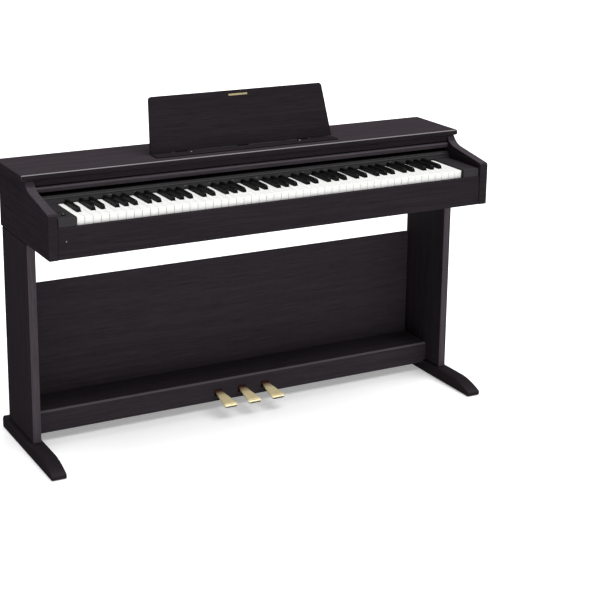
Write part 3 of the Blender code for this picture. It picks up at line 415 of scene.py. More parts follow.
finished_board("modesty_panel", dull_painted_sheen_film)
low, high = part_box("modesty_panel")
bm = bmesh.new()
screws = bmesh.new()
for end, inward in ((low.x, 1), (high.x, -1)):
    for z in (low.z + ANGLE_FOOT, (low.z + high.z) / 2, high.z - ANGLE_TOP):
        foot = sorted((end, end + inward * ANGLE_LEG))
        block(bm, (foot[0], high.y - ANGLE_THICK, z - ANGLE_HEIGHT / 2),
              (foot[1], high.y + ANGLE_LAP, z + ANGLE_HEIGHT / 2))
        for step in (-SCREW_SPREAD, SCREW_SPREAD):
            at = (end + inward * ANGLE_LEG * SCREW_ACROSS, high.y + ANGLE_LAP,
                  z + step * ANGLE_HEIGHT)
            screw_head(screws, at, (0, 1, 0))
ease_edges(bm, ANGLE_EASE)
make_piece("panel_angles", bm, zinc)
make_piece("panel_angle_screws", screws, zinc)

# ------------------------------------------------------------------------------------------
# Lower rail, which holds the pedals: film-wrapped board round a hollow, with a rounded front
# edge. Felt lines each pedal's slot.

RAIL_EASE = 0.0008
FELT_THICK = 0.0012
FELT_INSET = 0.0004
FELT_EASE = 0.0003
SLOT_HALF = 0.0135
SLOT_FOOT = 0.0161
SLOT_TOP = 0.0363
SLOT_REACH = 0.012


def felt(name, colour):
    place = new_material(name)
    fibre = place.noise([0.0006] * 3, 5.0)
    lit = [value * 1.9 for value in colour[:3]] + [1.0]
    return place.surface({
        "Base Color": fibre.fade(0.3, 0.7).blend(colour, lit),
        "Roughness": 0.95,
        "Normal": fibre.bump(0.0003),
        "Specular IOR Level": 0.1,
    })


# The rail's film is printed lighter, as painted light against the shade under the case, and its
# rounded top edge has a painted highlight.
rail_painted_light_film = wood_film("rail_film_along_x", "x", tone=0.80, edge=0.30)
finished_board("pedal_box", rail_painted_light_film, ease=RAIL_EASE)
rail_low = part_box("pedal_box")[0]
rod_low, rod_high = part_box("pedal_rod")
frame["nodes"]["pedal_rod"].material_slots[0].material = zinc

red_felt = felt("red_brown_felt", (0.030, 0.009, 0.008, 1.0))
bm = bmesh.new()
for joint in frame["joints"]:
    if not joint["name"].endswith("pedal_press"):
        continue
    x = joint["pos_m"][0]
    front = rail_low.y + FELT_INSET
    back = rail_low.y + SLOT_REACH
    foot = rail_low.z + SLOT_FOOT
    top = rail_low.z + SLOT_TOP
    for side in (-1, 1):
        near, far = sorted((x + side * SLOT_HALF, x + side * (SLOT_HALF - FELT_THICK)))
        block(bm, (near, front, foot), (far, back, top))
    block(bm, (x - SLOT_HALF, front, top - FELT_THICK), (x + SLOT_HALF, back, top))
ease_edges(bm, FELT_EASE)
make_piece("pedal_slot_felts", bm, red_felt)

# ------------------------------------------------------------------------------------------
# Pedals: three levers of cast brass, polished and lacquered, that turn on one steel rod. The
# flat top flares to a broad tip, whose front edge rolls down, and the rough underside is
# painted dark as painted shade, with a painted reflection where the lever enters its slot.

PEDALS = ("soft_pedal", "sostenuto_pedal", "damper_pedal")
PEDAL_SLOPE = math.radians(6.5)
PEDAL_SECTION_POINTS = 32
PEDAL_HUB = 0.0083
PEDAL_HALF_THICK = 0.0038
PEDAL_FLARE_LENGTH = 0.092
PEDAL_FLARE_STEPS = 30
PEDAL_NECK_STEPS = 4
PEDAL_HUB_STEPS = 10
PEDAL_TIP_TRIM = 0.0006
PEDAL_TAIL_TRIM = 0.0005
PEDAL_SIDE_TRIM = 0.0002
PEDAL_SLOT_GAP = 0.0026
PEDAL_FLARE_PACE = 1.10
CORNER_FROM = 0.90
CORNER_LOSS = 0.36
ROLL_FROM = 0.84
ROLL_DROP = 0.0045
ROLL_POWER = 2.4
NOSE_FROM = 0.955
NOSE_LOSS = 0.90
SECTION_SIDES = 0.34
SECTION_FACES = 0.50
UNDERSIDE = -0.02
BRASS = (1.0, 0.88, 0.54, 1.0)
BRASS_HANDLED = (0.93, 0.72, 0.33, 1.0)
BRASS_PAINTED_SLOT_REFLECTION = (0.10, 0.040, 0.020, 1.0)


def polished_brass():
    """Lacquered brass with fine polishing lines along the lever and a few finger marks. Towards
    the slot the brass is painted dark red-brown, as a painted reflection of the dark slot."""
    place = new_material("polished_brass")
    y = place.node("SeparateXYZ", {}, {0: place}, 1)
    lines = place.noise((0.0003, 0.02, 0.0003), 2.0)
    marks = place.noise([0.012] * 3, 4.0)
    # Painted reflection of the dark slot: the brass darkens towards the rail.
    painted_slot_reflection = (y + marks * 0.012).fade(rail_low.y - 0.036, rail_low.y + 0.004)
    polished = marks.fade(0.4, 0.8).blend(BRASS, BRASS_HANDLED)
    return place.surface({
        "Base Color": painted_slot_reflection.blend(polished, BRASS_PAINTED_SLOT_REFLECTION),
        "Metallic": 0.12,
        "Roughness": 0.20 + lines * 0.06 + marks.fade(0.5, 0.8) * 0.08 + painted_slot_reflection * 0.2,
        "Normal": lines.bump(0.000006),
        "Coat Weight": 0.8,
        "Coat Roughness": 0.12,
    })


def lever(node, brass):
    """One pedal from its hub to its rolled tip, through sections along its slope."""
    low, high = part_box(node)
    centre_x = (low.x + high.x) / 2
    pivot = (rod_low + rod_high) / 2
    reach = (pivot.y - low.y) / math.cos(PEDAL_SLOPE)
    half_tip = (high.x - low.x) / 2 - PEDAL_SIDE_TRIM
    half_neck = SLOT_HALF - PEDAL_SLOT_GAP
    neck = reach - PEDAL_FLARE_LENGTH
    tail = (high.y - pivot.y) / math.cos(PEDAL_SLOPE)
    turn = Matrix.Rotation(PEDAL_SLOPE, 4, "X")
    bm = bmesh.new()
    rings = []
    stations = [PEDAL_TAIL_TRIM - tail]
    stations += [PEDAL_HUB * (2 * i / PEDAL_HUB_STEPS - 1) for i in range(PEDAL_HUB_STEPS + 1)]
    stations += [PEDAL_HUB + (neck - PEDAL_HUB) * i / PEDAL_NECK_STEPS
                 for i in range(1, PEDAL_NECK_STEPS + 1)]
    flare = reach - neck - PEDAL_TIP_TRIM
    stations += [neck + flare * math.sin(math.pi / 2 * i / PEDAL_FLARE_STEPS)
                 for i in range(1, PEDAL_FLARE_STEPS + 1)]
    for s in stations:
        t = min(1.0, max(0.0, (s - neck) / (reach - neck)))
        half_width = half_neck + (half_tip - half_neck) * min(1.0, t * PEDAL_FLARE_PACE)
        corner = max(0.0, (t - CORNER_FROM) / (1 - CORNER_FROM))
        half_width *= math.sqrt(1 - CORNER_LOSS * corner ** 3)
        roll = ROLL_DROP * max(0.0, (t - ROLL_FROM) / (1 - ROLL_FROM)) ** ROLL_POWER
        nose = max(0.0, (t - NOSE_FROM) / (1 - NOSE_FROM))
        half_thick = PEDAL_HALF_THICK * math.sqrt(1 - NOSE_LOSS * nose ** 2)
        if abs(s) < PEDAL_HUB:
            half_thick = max(half_thick, math.sqrt(PEDAL_HUB ** 2 - s ** 2))
        ring = []
        for i in range(PEDAL_SECTION_POINTS):
            angle = math.tau * (i + 0.5) / PEDAL_SECTION_POINTS
            across = math.copysign(abs(math.cos(angle)) ** SECTION_SIDES, math.cos(angle))
            upward = math.copysign(abs(math.sin(angle)) ** SECTION_FACES, math.sin(angle))
            point = Vector((across * half_width, -s, upward * half_thick - roll))
            ring.append(bm.verts.new(turn @ point + Vector((centre_x, pivot.y, pivot.z))))
        rings.append(ring)
    join_rings(bm, rings)
    return make_piece(node + "_lever", bm, brass, node, [node], sharp=60)


brass = polished_brass()
underside_painted_shade = brushed_metal("underside_painted_shade", (0.050, 0.042, 0.034, 1.0), 0.55)
for node in PEDALS:
    # Faces turned downward take a dark metal: painted shade under each lever.
    band_front(lever(node, brass), underside_painted_shade, lambda normal: normal.z < UNDERSIDE)
frame["nodes"]["pedal_adjuster"].material_slots[0].material = cap_plastic

# ------------------------------------------------------------------------------------------
# Key bed and key slip. The bed is bare-edged board that carries the key action, and the slip
# is the long front rail that hides the key fronts' feet. A lamp shows through its left end.

BOARD_EASE = 0.0005
BED_SCREW_COLUMNS = (-0.60, -0.36, -0.12, 0.12, 0.36, 0.60)
BED_SCREW_FRONT = 0.045
BED_SCREW_BACK = 0.110
LAMP_RADIUS = 0.0016
LAMP_AT = (0.0235, 0.0495)

finished_board("keybed", dull_painted_sheen_film, ease=BOARD_EASE)
finished_board("key_slip", film_x)
low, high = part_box("keybed")
bm = bmesh.new()
for x in BED_SCREW_COLUMNS:
    for y in (low.y + BED_SCREW_FRONT, high.y - BED_SCREW_BACK):
        screw_head(bm, (x, y, low.z + SCREW_SUNK), (0, 0, -1))
make_piece("keybed_screws", bm, zinc)

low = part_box("key_slip")[0]
place = new_material("lamp_lens")
milky = place.noise([0.0009] * 3, 2.0)
lamp = place.surface({
    "Base Color": milky.fade(0.3, 0.7).blend((0.25, 0.25, 0.245, 1.0), (0.19, 0.19, 0.185, 1.0)),
    "Roughness": 0.30 + milky * 0.10,
    "Emission Color": (1.0, 0.93, 0.82, 1.0), "Emission Strength": 0.04})
bm = bmesh.new()
profile = [(LAMP_RADIUS, -0.001), (LAMP_RADIUS, 0.0002), (LAMP_RADIUS * 0.7, 0.0005)]
turned(bm, profile, 20, (low.x + LAMP_AT[0], low.y, low.z + LAMP_AT[1]), (0, -1, 0))
make_piece("slip_lamp", bm, lamp)

# ------------------------------------------------------------------------------------------
# Arms. The side boards of the case, sawn to a curve and a slope and wrapped like the rest,
# with the greyer band along the sloping top edge, and the plain film down the front.

arm_edge_film = wood_film("arm_edge_film", "y", tone=1.35, roughness=0.46, edge=0.0)
for side in ("left", "right"):
    arm = finished_board(side + "_arm", film_y)
    band_front(arm, arm_edge_film, lambda normal: normal.z > 0.5)
    band_front(arm, film_x, lambda normal: normal.y < -0.6)

# ------------------------------------------------------------------------------------------
# Key action frame: a pressed steel tray on the bed, which the keys hang on.

steel_tray = brushed_metal("steel_tray", (0.50, 0.50, 0.52, 1.0), 0.40, (0.0006, 0.02, 0.0006))
frame["nodes"]["key_chassis"].material_slots[0].material = steel_tray

# ------------------------------------------------------------------------------------------
# White keys: moulded in glossy white plastic, each with a thin lip over its front face and a
# narrow tail between the black keys. Each bank or single key moves with its own body.

SINGLE_OCTAVE = 4
NATURAL_RUNS = (("C", "Cs", "D", "Ds", "E"), ("F", "Fs", "G", "Gs", "A", "As", "B"))
NATURALS = 52
KEY_GAP = 0.001
SHARP_SLOT = 0.0137
SHARP_SIDE_GAP = 0.0012
LIP_THICK = 0.0024
LIP_REACH = 0.0007
KEY_EASE = 0.0007
KEY_CORNER = 0.0011
LIP_EASE = 0.0003
PLATE_LAP = 0.0004
BODY_INSET = 0.00015
NEAR = 1e-5
WHITE = (0.84, 0.84, 0.825, 1.0)
WHITE_WORN = (0.815, 0.815, 0.80, 1.0)


def bank_of(octave, is_natural, name):
    """The node that a key belongs to."""
    if octave == SINGLE_OCTAVE:
        return f"key_{name.replace('s', '_sharp')}{octave}"
    kind = "naturals" if is_natural else "sharps"
    return f"{kind}_octave_{min(max(octave, 1), 7)}"


def keyboard():
    """Every key as its node, its left and right sides, and those of its tail."""
    left_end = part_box("naturals_octave_1")[0].x - KEY_GAP / 2
    right_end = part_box("naturals_octave_7")[1].x + KEY_GAP / 2
    pitch = (right_end - left_end) / NATURALS
    octave_width = 7 * pitch
    found = []
    for octave in range(9):
        left = left_end - 5 * pitch + octave * octave_width
        for run in NATURAL_RUNS:
            count = (len(run) + 1) // 2
            tail = (count * pitch - (count - 1) * SHARP_SLOT) / count
            for i, name in enumerate(run):
                if i % 2:
                    side = left + (i + 1) // 2 * tail + i // 2 * SHARP_SLOT
                    edges = (side, side + SHARP_SLOT, side, side + SHARP_SLOT)
                else:
                    side = left + i // 2 * pitch
                    tail_side = left + i // 2 * (tail + SHARP_SLOT)
                    edges = (side, side + pitch, tail_side, tail_side + tail)
                if left_end - NEAR < edges[0] and edges[1] < right_end + NEAR:
                    found.append((bank_of(octave, not i % 2, name), *edges))
            left += count * pitch
    ends = found[0], found[-1]
    found[0] = (*ends[0][:3], ends[0][1], ends[0][4])
    found[-1] = (*ends[1][:4], ends[1][2])
    return found


def key_plan(low, high, tail_low, tail_high, front, notch, end):
    """A white key's outline from above, without the corners that fall together."""
    corners = [(low, front), (high, front), (high, notch), (tail_high, notch), (tail_high, end),
               (tail_low, end), (tail_low, notch), (low, notch)]
    plan = []
    for corner in corners:
        if not plan or max(abs(a - b) for a, b in zip(corner, plan[-1])) > NEAR:
            plan.append(corner)
    return plan


def drawn_down(bm, plan, top, bottom):
    """Add the solid between two heights under a plan."""
    upper = [bm.verts.new((x, y, top)) for x, y in plan]
    lower = [bm.verts.new((x, y, bottom)) for x, y in plan]
    join_rings(bm, [lower, upper])


def white_key(bm, sides, box_low, box_high, notch):
    """Add one white key: the playing plate with its lip, and the body under it."""
    half = KEY_GAP / 2
    low, high, tail_low, tail_high = sides
    plan = key_plan(low + half, high - half, tail_low + half, tail_high - half,
                    box_low.y, notch, box_high.y)
    plate = bmesh.new()
    drawn_down(plate, plan, box_high.z, box_high.z - LIP_THICK)
    corners = [edge for edge in plate.edges
               if abs(edge.verts[0].co.z - edge.verts[1].co.z) > NEAR
               and all(vert.co.y < box_low.y + NEAR for vert in edge.verts)]
    round_over(plate, corners, KEY_CORNER, 3)
    rim = [edge for edge in plate.edges
           if all(vert.co.z > box_high.z - NEAR for vert in edge.verts)]
    round_over(plate, rim, KEY_EASE, 3)
    lip = [edge for edge in plate.edges
           if all(abs(vert.co.z - box_high.z + LIP_THICK) < NEAR for vert in edge.verts)]
    round_over(plate, lip, LIP_EASE, 1)
    mesh = bpy.data.meshes.new("plate")
    plate.to_mesh(mesh)
    plate.free()
    bm.from_mesh(mesh)
    bpy.data.meshes.remove(mesh)
    half += BODY_INSET
    plan = key_plan(low + half, high - half, tail_low + half, tail_high - half,
                    box_low.y + LIP_REACH, notch - BODY_INSET, box_high.y - BODY_INSET)
    drawn_down(bm, plan, box_high.z - LIP_THICK + PLATE_LAP, box_low.z)


def key_white():
    """Glossy white key plastic, faintly uneven in gloss from use."""
    place = new_material("white_key_plastic")
    worn = place.noise((0.012, 0.05, 0.012), 3.0)
    ripple = place.noise((0.02, 0.06, 0.02), 1.0)
    return place.surface({
        "Base Color": ripple.fade(0.3, 0.7).blend(WHITE, WHITE_WORN),
        "Roughness": 0.18 + worn * 0.16,
        "Normal": ripple.bump(0.00004),
        "Specular IOR Level": 0.5,
    })


layout = keyboard()
key_bodies = sorted({key[0] for key in layout})
white = key_white()
sharps_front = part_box("sharps_octave_2")[0].y
for node in key_bodies:
    if "sharp" in node:
        continue
    low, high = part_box(node)
    bm = bmesh.new()
    for _, *sides in (key for key in layout if key[0] == node):
        white_key(bm, sides, low, high, sharps_front - SHARP_SIDE_GAP)
    make_piece(node + "_keys", bm, white, node, [node], sharp=40)

# ------------------------------------------------------------------------------------------
# Black keys: moulded in a fine matt black, their sides leaning in to a narrow rounded top and
# the front sloping up from the white keys. A flat stick runs back under the fallboard.

SHARP_TOP_HALF = 0.0047
SHARP_CORNER = 0.0013
NOSE_RUN = 0.011
NOSE_STEPS = 9
CORNER_STEPS = 4
NOSE_FOOT = 0.30
NOSE_RISE = 0.85
NOSE_BEND = 1.15
CAP_SINK = 0.003
CAP_FACE_GAP = 0.0018
CAP_END = ((0.0010, 1.0), (0.0002, 0.97))
STICK_DROP = 0.0012
STICK_INSET = 0.0002
BLACK = (0.0022, 0.0022, 0.0024, 1.0)
BLACK_GRAIN = (0.0052, 0.0052, 0.0056, 1.0)


def key_black():
    place = new_material("black_key_plastic")
    grain = place.noise((0.0005, 0.006, 0.0005), 2.0)
    polish = place.noise([0.02] * 3, 2.0)
    return place.surface({
        "Base Color": grain.fade(0.3, 0.8).blend(BLACK, BLACK_GRAIN),
        "Roughness": 0.34 + polish * 0.12,
        "Normal": grain.bump(0.00003),
        "Specular IOR Level": 0.07,
    })


def black_key(bm, low_x, high_x, box_low, box_high, key_top, cap_end):
    """Add one black key from its nose to its end, and its stick."""
    middle = (low_x + high_x) / 2
    half = (high_x - low_x) / 2
    base = key_top - CAP_SINK
    rise = box_high.z - base
    spots = []
    for i in range(NOSE_STEPS + 1):
        angle = math.pi / 2 * i / NOSE_STEPS
        lift = NOSE_FOOT + (1 - NOSE_FOOT) * math.sin(angle) ** NOSE_RISE
        spots.append((box_low.y + NOSE_RUN * (1 - math.cos(angle)) ** NOSE_BEND, lift))
    spots += [(cap_end - gap, lift) for gap, lift in CAP_END]
    rings = []
    for y, lift in spots:
        top = base + rise * lift
        top_half = half - (half - SHARP_TOP_HALF) * lift
        corner = min(SHARP_CORNER, (top - base) * 0.4)
        ring = [(middle - half, base), (middle + half, base)]
        for side in (1, -1):
            for i in range(CORNER_STEPS + 1):
                turn = math.pi / 2 * (i if side > 0 else CORNER_STEPS - i) / CORNER_STEPS
                ring.append((middle + side * (top_half - corner + corner * math.cos(turn)),
                             top - corner + corner * math.sin(turn)))
        rings.append([bm.verts.new((x, y, z)) for x, z in ring])
    join_rings(bm, rings)
    block(bm, (low_x + STICK_INSET, box_low.y + STICK_DROP, box_low.z),
          (high_x - STICK_INSET, box_high.y, key_top - STICK_DROP))


key_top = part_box("naturals_octave_2")[1].z
fallboard_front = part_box("fallboard")[0].y
black = key_black()
for node in key_bodies:
    if "sharp" not in node:
        continue
    low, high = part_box(node)
    bm = bmesh.new()
    for _, side, far_side, *_ in (key for key in layout if key[0] == node):
        black_key(bm, side + SHARP_SIDE_GAP, far_side - SHARP_SIDE_GAP, low, high, key_top,
                  fallboard_front - CAP_FACE_GAP)
    make_piece(node + "_keys", bm, black, node, [node], sharp=50)

# ------------------------------------------------------------------------------------------
# Fallboard and cheeks: black mouldings behind and beside the keys. A strip of felt under the
# fallboard keeps dust and light out of the action.

FALLBOARD_LEAN = 0.010
FALLBOARD_WALL = 0.0036
FALLBOARD_LIP = 0.0004
FALLBOARD_ROUND = 0.0042
BROW_SETBACK = 0.003
ROUND_STEPS = 6
GROOVE_AT = 0.56
GROOVE_WIDTH = 0.0013
GROOVE_DEPTH = 0.0016
GROOVE_EASE = 0.0002
MARK_COUNT = 13
MARK_SPAN = (0.16, 0.68)
MARK_LOW = (-0.004, -0.00012, -0.00045)
MARK_HIGH = (0.004, 0.0002, 0.00045)
MARK_EASE = 0.0001
MARK_AT = (0.36, 0.37)
STRIP_FELT_DEPTH = 0.0022
STRIP_FELT_SETBACK = 0.0010
STRIP_FELT_HANG = 0.0013
STRIP_FELT_EASE = 0.0004
CHEEK_EASE = 0.0004

panel_plastic = moulded_plastic("panel_plastic", (0.015, 0.0135, 0.015, 1.0), 0.46, 0.0008)
low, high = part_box("fallboard")
rise = high.z - low.z
brow = low.y + FALLBOARD_LEAN
groove_foot = low.z + rise * GROOVE_AT
groove_y = low.y + FALLBOARD_LEAN * 0.54
outline = [(low.y, low.z + FALLBOARD_LIP), (low.y + FALLBOARD_LIP / 2, low.z + FALLBOARD_LIP * 2)]
outline += [(low.y + FALLBOARD_LEAN * 0.52, groove_foot - GROOVE_EASE * 2), (groove_y, groove_foot)]
outline += [(groove_y + GROOVE_DEPTH, groove_foot + GROOVE_EASE)]
outline += [(groove_y + GROOVE_DEPTH, groove_foot + GROOVE_WIDTH)]
outline += [(low.y + FALLBOARD_LEAN * 0.58, groove_foot + GROOVE_WIDTH + GROOVE_EASE)]
for i in range(ROUND_STEPS + 1):
    turn = math.pi / 2 * i / ROUND_STEPS
    outline.append((brow + BROW_SETBACK - FALLBOARD_ROUND * math.cos(turn),
                    high.z - FALLBOARD_ROUND * (1 - math.sin(turn))))
outline += [(high.y, high.z), (high.y, high.z - FALLBOARD_WALL)]
outline += [(brow + BROW_SETBACK * 1.5, high.z - FALLBOARD_WALL)]
outline += [(low.y + FALLBOARD_WALL + FALLBOARD_LIP * 2, low.z)]
bm = bmesh.new()
join_rings(bm, [[bm.verts.new((x, y, z)) for y, z in outline] for x in (low.x, high.x)])
make_piece("fallboard_moulding", bm, panel_plastic, replaced=["fallboard"], sharp=30)


def print_ink(name, colour):
    """Screen-printed ink, a little thin and uneven."""
    place = new_material(name)
    thin = place.noise([0.0008] * 3, 4.0)
    faded = [value * 0.72 for value in colour[:3]] + [1.0]
    return place.surface({
        "Base Color": thin.fade(0.40, 0.75).blend(colour, faded),
        "Roughness": 0.45 + thin * 0.12,
        "Normal": thin.bump(0.00001),
    })


print_grey = print_ink("printed_grey", (0.20, 0.20, 0.20, 1.0))
bm = bmesh.new()
lean = math.atan2(FALLBOARD_LEAN * 0.54, rise * GROOVE_AT)
upright = Matrix.Rotation(-lean, 4, "X")
for i in range(MARK_COUNT):
    x = low.x + (high.x - low.x) * (MARK_SPAN[0] + MARK_SPAN[1] * i / (MARK_COUNT - 1))
    verts = block(bm, MARK_LOW, MARK_HIGH)
    at = Vector((x, low.y + FALLBOARD_LEAN * MARK_AT[0], low.z + rise * MARK_AT[1]))
    bmesh.ops.transform(bm, matrix=Matrix.Translation(at) @ upright, verts=verts)
ease_edges(bm, MARK_EASE, 1)
make_piece("fallboard_marks", bm, print_grey)

black_felt = felt("black_felt", (0.006, 0.006, 0.0065, 1.0))
bm = bmesh.new()
keys_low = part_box("naturals_octave_1")[0]
keys_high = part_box("naturals_octave_7")[1]
strip = low.y + STRIP_FELT_SETBACK
block(bm, (keys_low.x, strip, low.z - STRIP_FELT_HANG),
      (keys_high.x, strip + STRIP_FELT_DEPTH, low.z + FALLBOARD_LIP))
ease_edges(bm, STRIP_FELT_EASE)
make_piece("fallboard_felt", bm, black_felt)

for node in ("left_cheek", "right_cheek"):
    finished_board(node, panel_plastic, ease=CHEEK_EASE)

# ------------------------------------------------------------------------------------------
# Controls in the left cheek: a knurled volume knob with a pointer line, and a power button.

KNOB_FLUTES = 30
FLUTE_DEPTH = 0.035
POINTER_WIDTH = 0.0009
POINTER_SPAN = (0.15, 0.80)
POINTER_DEPTH = (0.0008, 0.0002)
KNOB_GRIP = ((1.0, 0.0012), (0.95, 0.0005))
KNOB_DISH = ((0.86, 0.0001), (0.70, 0.0004), (0.10, 0.0005))
BUTTON_EASE = 0.0004
BUTTON_MARK = (0.0018, 0.0004)
PRINT_DEPTH = 0.0005


def fluted(angle):
    """The section of the knob's grip, as a share of its radius."""
    return 1 - FLUTE_DEPTH * (0.5 + 0.5 * math.cos(KNOB_FLUTES * angle)) ** 2


soft_black = moulded_plastic("soft_black_plastic", (0.010, 0.010, 0.011, 1.0), 0.42, 0.0004)
print_white = print_ink("printed_white", (0.64, 0.64, 0.62, 1.0))
low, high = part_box("volume_knob")
radius = (high.x - low.x) / 2
middle = (low + high) / 2
bm = bmesh.new()
crown = high.z - low.z
profile = [(radius, 0.0, fluted)]
profile += [(radius * share, crown - drop, fluted) for share, drop in KNOB_GRIP]
profile += [(radius * share, crown - drop) for share, drop in KNOB_DISH]
turned(bm, profile, KNOB_FLUTES * 6, (middle.x, middle.y, low.z))
make_piece("volume_knob_cap", bm, soft_black, "volume_knob", ["volume_knob"],
           sharp=60)
bm = bmesh.new()
corners = [(middle.x + side * POINTER_WIDTH / 2, middle.y + radius * span, high.z - drop)
           for side, span, drop in zip((-1, 1), POINTER_SPAN, POINTER_DEPTH)]
block(bm, *corners)
ease_edges(bm, MARK_EASE)
make_piece("volume_knob_pointer", bm, print_white, "volume_knob")

bm = skin("power_button")
ease_edges(bm, BUTTON_EASE, 3)
make_piece("power_button_cap", bm, soft_black, "power_button", ["power_button"],
           sharp=60)
low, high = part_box("power_button")
bm = bmesh.new()
middle = (low + high) / 2
block(bm, (middle.x - BUTTON_MARK[0], middle.y - BUTTON_MARK[1], high.z - PRINT_DEPTH),
      (middle.x + BUTTON_MARK[0], middle.y + BUTTON_MARK[1], high.z))
ease_edges(bm, MARK_EASE)
make_piece("power_button_mark", bm, print_white, "power_button")

# ------------------------------------------------------------------------------------------
# Inside the case: two paper-cone speakers that fire down through the bed, behind ring guards,
# and the main circuit board on its posts.

GUARD_RINGS = 7
GUARD_SPOKES = 6
GUARD_MARGIN = 0.0085
RING_BAR = (0.0022, 0.0006, 0.0026)
SPOKE_BAR = (0.0011, 0.0010, 0.0030)
SPOKE_LAP = (0.001, 0.0005)


def hoop(bm, section, sides, at, towards=(0, 0, 1)):
    """Add a ring turned about a line from at, from the closed section's (radius, height)."""
    rings = turned_rings(bm, section, sides, at, towards)
    for near, far in zip(rings, rings[1:] + rings[:1]):
        for i in range(sides):
            bm.faces.new((near[i], near[(i + 1) % sides], far[(i + 1) % sides], far[i]))


paper = moulded_plastic("speaker_paper", (0.020, 0.020, 0.021, 1.0), 0.85, 0.001, 0.0001)
board_green = moulded_plastic("circuit_green", (0.012, 0.10, 0.040, 1.0), 0.45, 0.003)
frame["nodes"]["main_board"].material_slots[0].material = board_green
for name in ("left_speaker", "right_speaker"):
    frame["nodes"][name].material_slots[0].material = paper
for side in ("left", "right"):
    low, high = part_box(side + "_speaker")
    at = Vector(((low.x + high.x) / 2, (low.y + high.y) / 2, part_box("keybed")[0].z))
    hole = (high.x - low.x) / 2 - GUARD_MARGIN
    bm = bmesh.new()
    bar, foot, top = RING_BAR
    for i in range(GUARD_RINGS):
        outer = hole * (i + 1) / GUARD_RINGS
        section = [(outer - bar, foot), (outer, foot), (outer, top), (outer - bar, top)]
        hoop(bm, section, 64, at)
    half, foot, top = SPOKE_BAR
    for i in range(GUARD_SPOKES):
        verts = block(bm, (hole / GUARD_RINGS - SPOKE_LAP[0], -half, foot),
                      (hole + SPOKE_LAP[1], half, top))
        place = Matrix.Translation(at) @ Matrix.Rotation(math.tau * i / GUARD_SPOKES, 4, "Z")
        bmesh.ops.transform(bm, matrix=place, verts=verts)
    make_piece(side + "_speaker_guard", bm, soft_black)

# ------------------------------------------------------------------------------------------
# Back of the case: a duller board held by two rows of black screws, with the plate of sockets
# let into it. Each round socket has a plated ring, as on the headphone box under the bed.

RING_WIDTH = 0.0011
RING_HEIGHT = 0.0008
RING_SUNK = 0.0030
RING_LIP = 0.0002
SOCKET_PITCH = 0.027
ROUND_SOCKETS = ((-2.2, 0.0030), (-0.5, 0.0033), (0.5, 0.0033))
WIDE_SOCKETS = (-1.5, 1.5)
WIDE_HALF = (0.0060, 0.00525)
WIDE_WALL = 0.0005
WIDE_DEPTH = 0.006
WIDE_PROUD = 0.0003
WIDE_EASE = 0.0001
PHONES_SPACING = 0.034
PHONES_RADIUS = 0.0033
REAR_SCREWS = 9
REAR_SCREW_INSET = 0.03
REAR_SCREW_ROWS = (0.008, 0.012)
REAR_SCREW_SUNK = 0.0006
PLATE_EASE = 0.0003
BOX_SCREW_AT = (0.36, 0.012)
BOX_SCREW_RADIUS = 0.0030

finished_board("rear_panel", dull_painted_sheen_film, ease=BOARD_EASE)
low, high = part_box("rear_panel")
bm = bmesh.new()
for i in range(REAR_SCREWS):
    x = (low.x + REAR_SCREW_INSET
         + (high.x - low.x - 2 * REAR_SCREW_INSET) * i / (REAR_SCREWS - 1))
    for z in (low.z + REAR_SCREW_ROWS[0], high.z - REAR_SCREW_ROWS[1]):
        screw_head(bm, (x, high.y - REAR_SCREW_SUNK, z), (0, 1, 0))
make_piece("rear_panel_screws", bm, black_screws)
socket_plastic = moulded_plastic("socket_plastic", (0.013, 0.013, 0.014, 1.0), 0.5)
finished_board("socket_plate", socket_plastic, ease=PLATE_EASE)
finished_board("headphone_box", socket_plastic, ease=BOARD_EASE)


def jack_ring(bm, at, radius, towards):
    """Add a plated ring round a socket, with the turned-in lip that guides the plug."""
    rim = radius + RING_WIDTH
    hoop(bm, [(radius, -RING_SUNK), (radius, RING_HEIGHT * 0.6),
              (radius + RING_WIDTH * 0.3, RING_HEIGHT), (radius + RING_WIDTH * 0.8, RING_HEIGHT),
              (rim, RING_HEIGHT * 0.5), (rim, -RING_LIP),
              (radius + RING_LIP, -RING_LIP * 2), (radius + RING_LIP, -RING_SUNK)], 28, at, towards)


low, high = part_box("socket_plate")
middle_z = (low.z + high.z) / 2
bm = bmesh.new()
for step, radius in ROUND_SOCKETS:
    jack_ring(bm, (step * SOCKET_PITCH, high.y, middle_z), radius, (0, 1, 0))
make_piece("socket_rings", bm, zinc)
bm = bmesh.new()
half_x, half_z = WIDE_HALF
back, front = high.y - WIDE_DEPTH, high.y + WIDE_PROUD
for step in WIDE_SOCKETS:
    x = step * SOCKET_PITCH
    for side in (-1, 1):
        near, far = sorted((x + side * half_x, x + side * (half_x - WIDE_WALL)))
        block(bm, (near, back, middle_z - half_z), (far, front, middle_z + half_z))
        near, far = sorted((middle_z + side * half_z, middle_z + side * (half_z - WIDE_WALL)))
        block(bm, (x - half_x, back, near), (x + half_x, front, far))
ease_edges(bm, WIDE_EASE, 1)
make_piece("wide_socket_shells", bm, zinc)
low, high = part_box("headphone_box")
bm = bmesh.new()
for side in (-0.5, 0.5):
    at = ((low.x + high.x) / 2 + side * PHONES_SPACING, low.y, (low.z + high.z) / 2)
    jack_ring(bm, at, PHONES_RADIUS, (0, -1, 0))
make_piece("headphone_rings", bm, zinc)
bm = bmesh.new()
for side in (-1, 1):
    at = ((low.x + high.x) / 2 + side * (high.x - low.x) * BOX_SCREW_AT[0],
          (low.y + high.y) / 2 + BOX_SCREW_AT[1], low.z + SCREW_SUNK)
    screw_head(bm, at, (0, 0, -1), BOX_SCREW_RADIUS)
make_piece("headphone_box_screws", bm, black_screws)

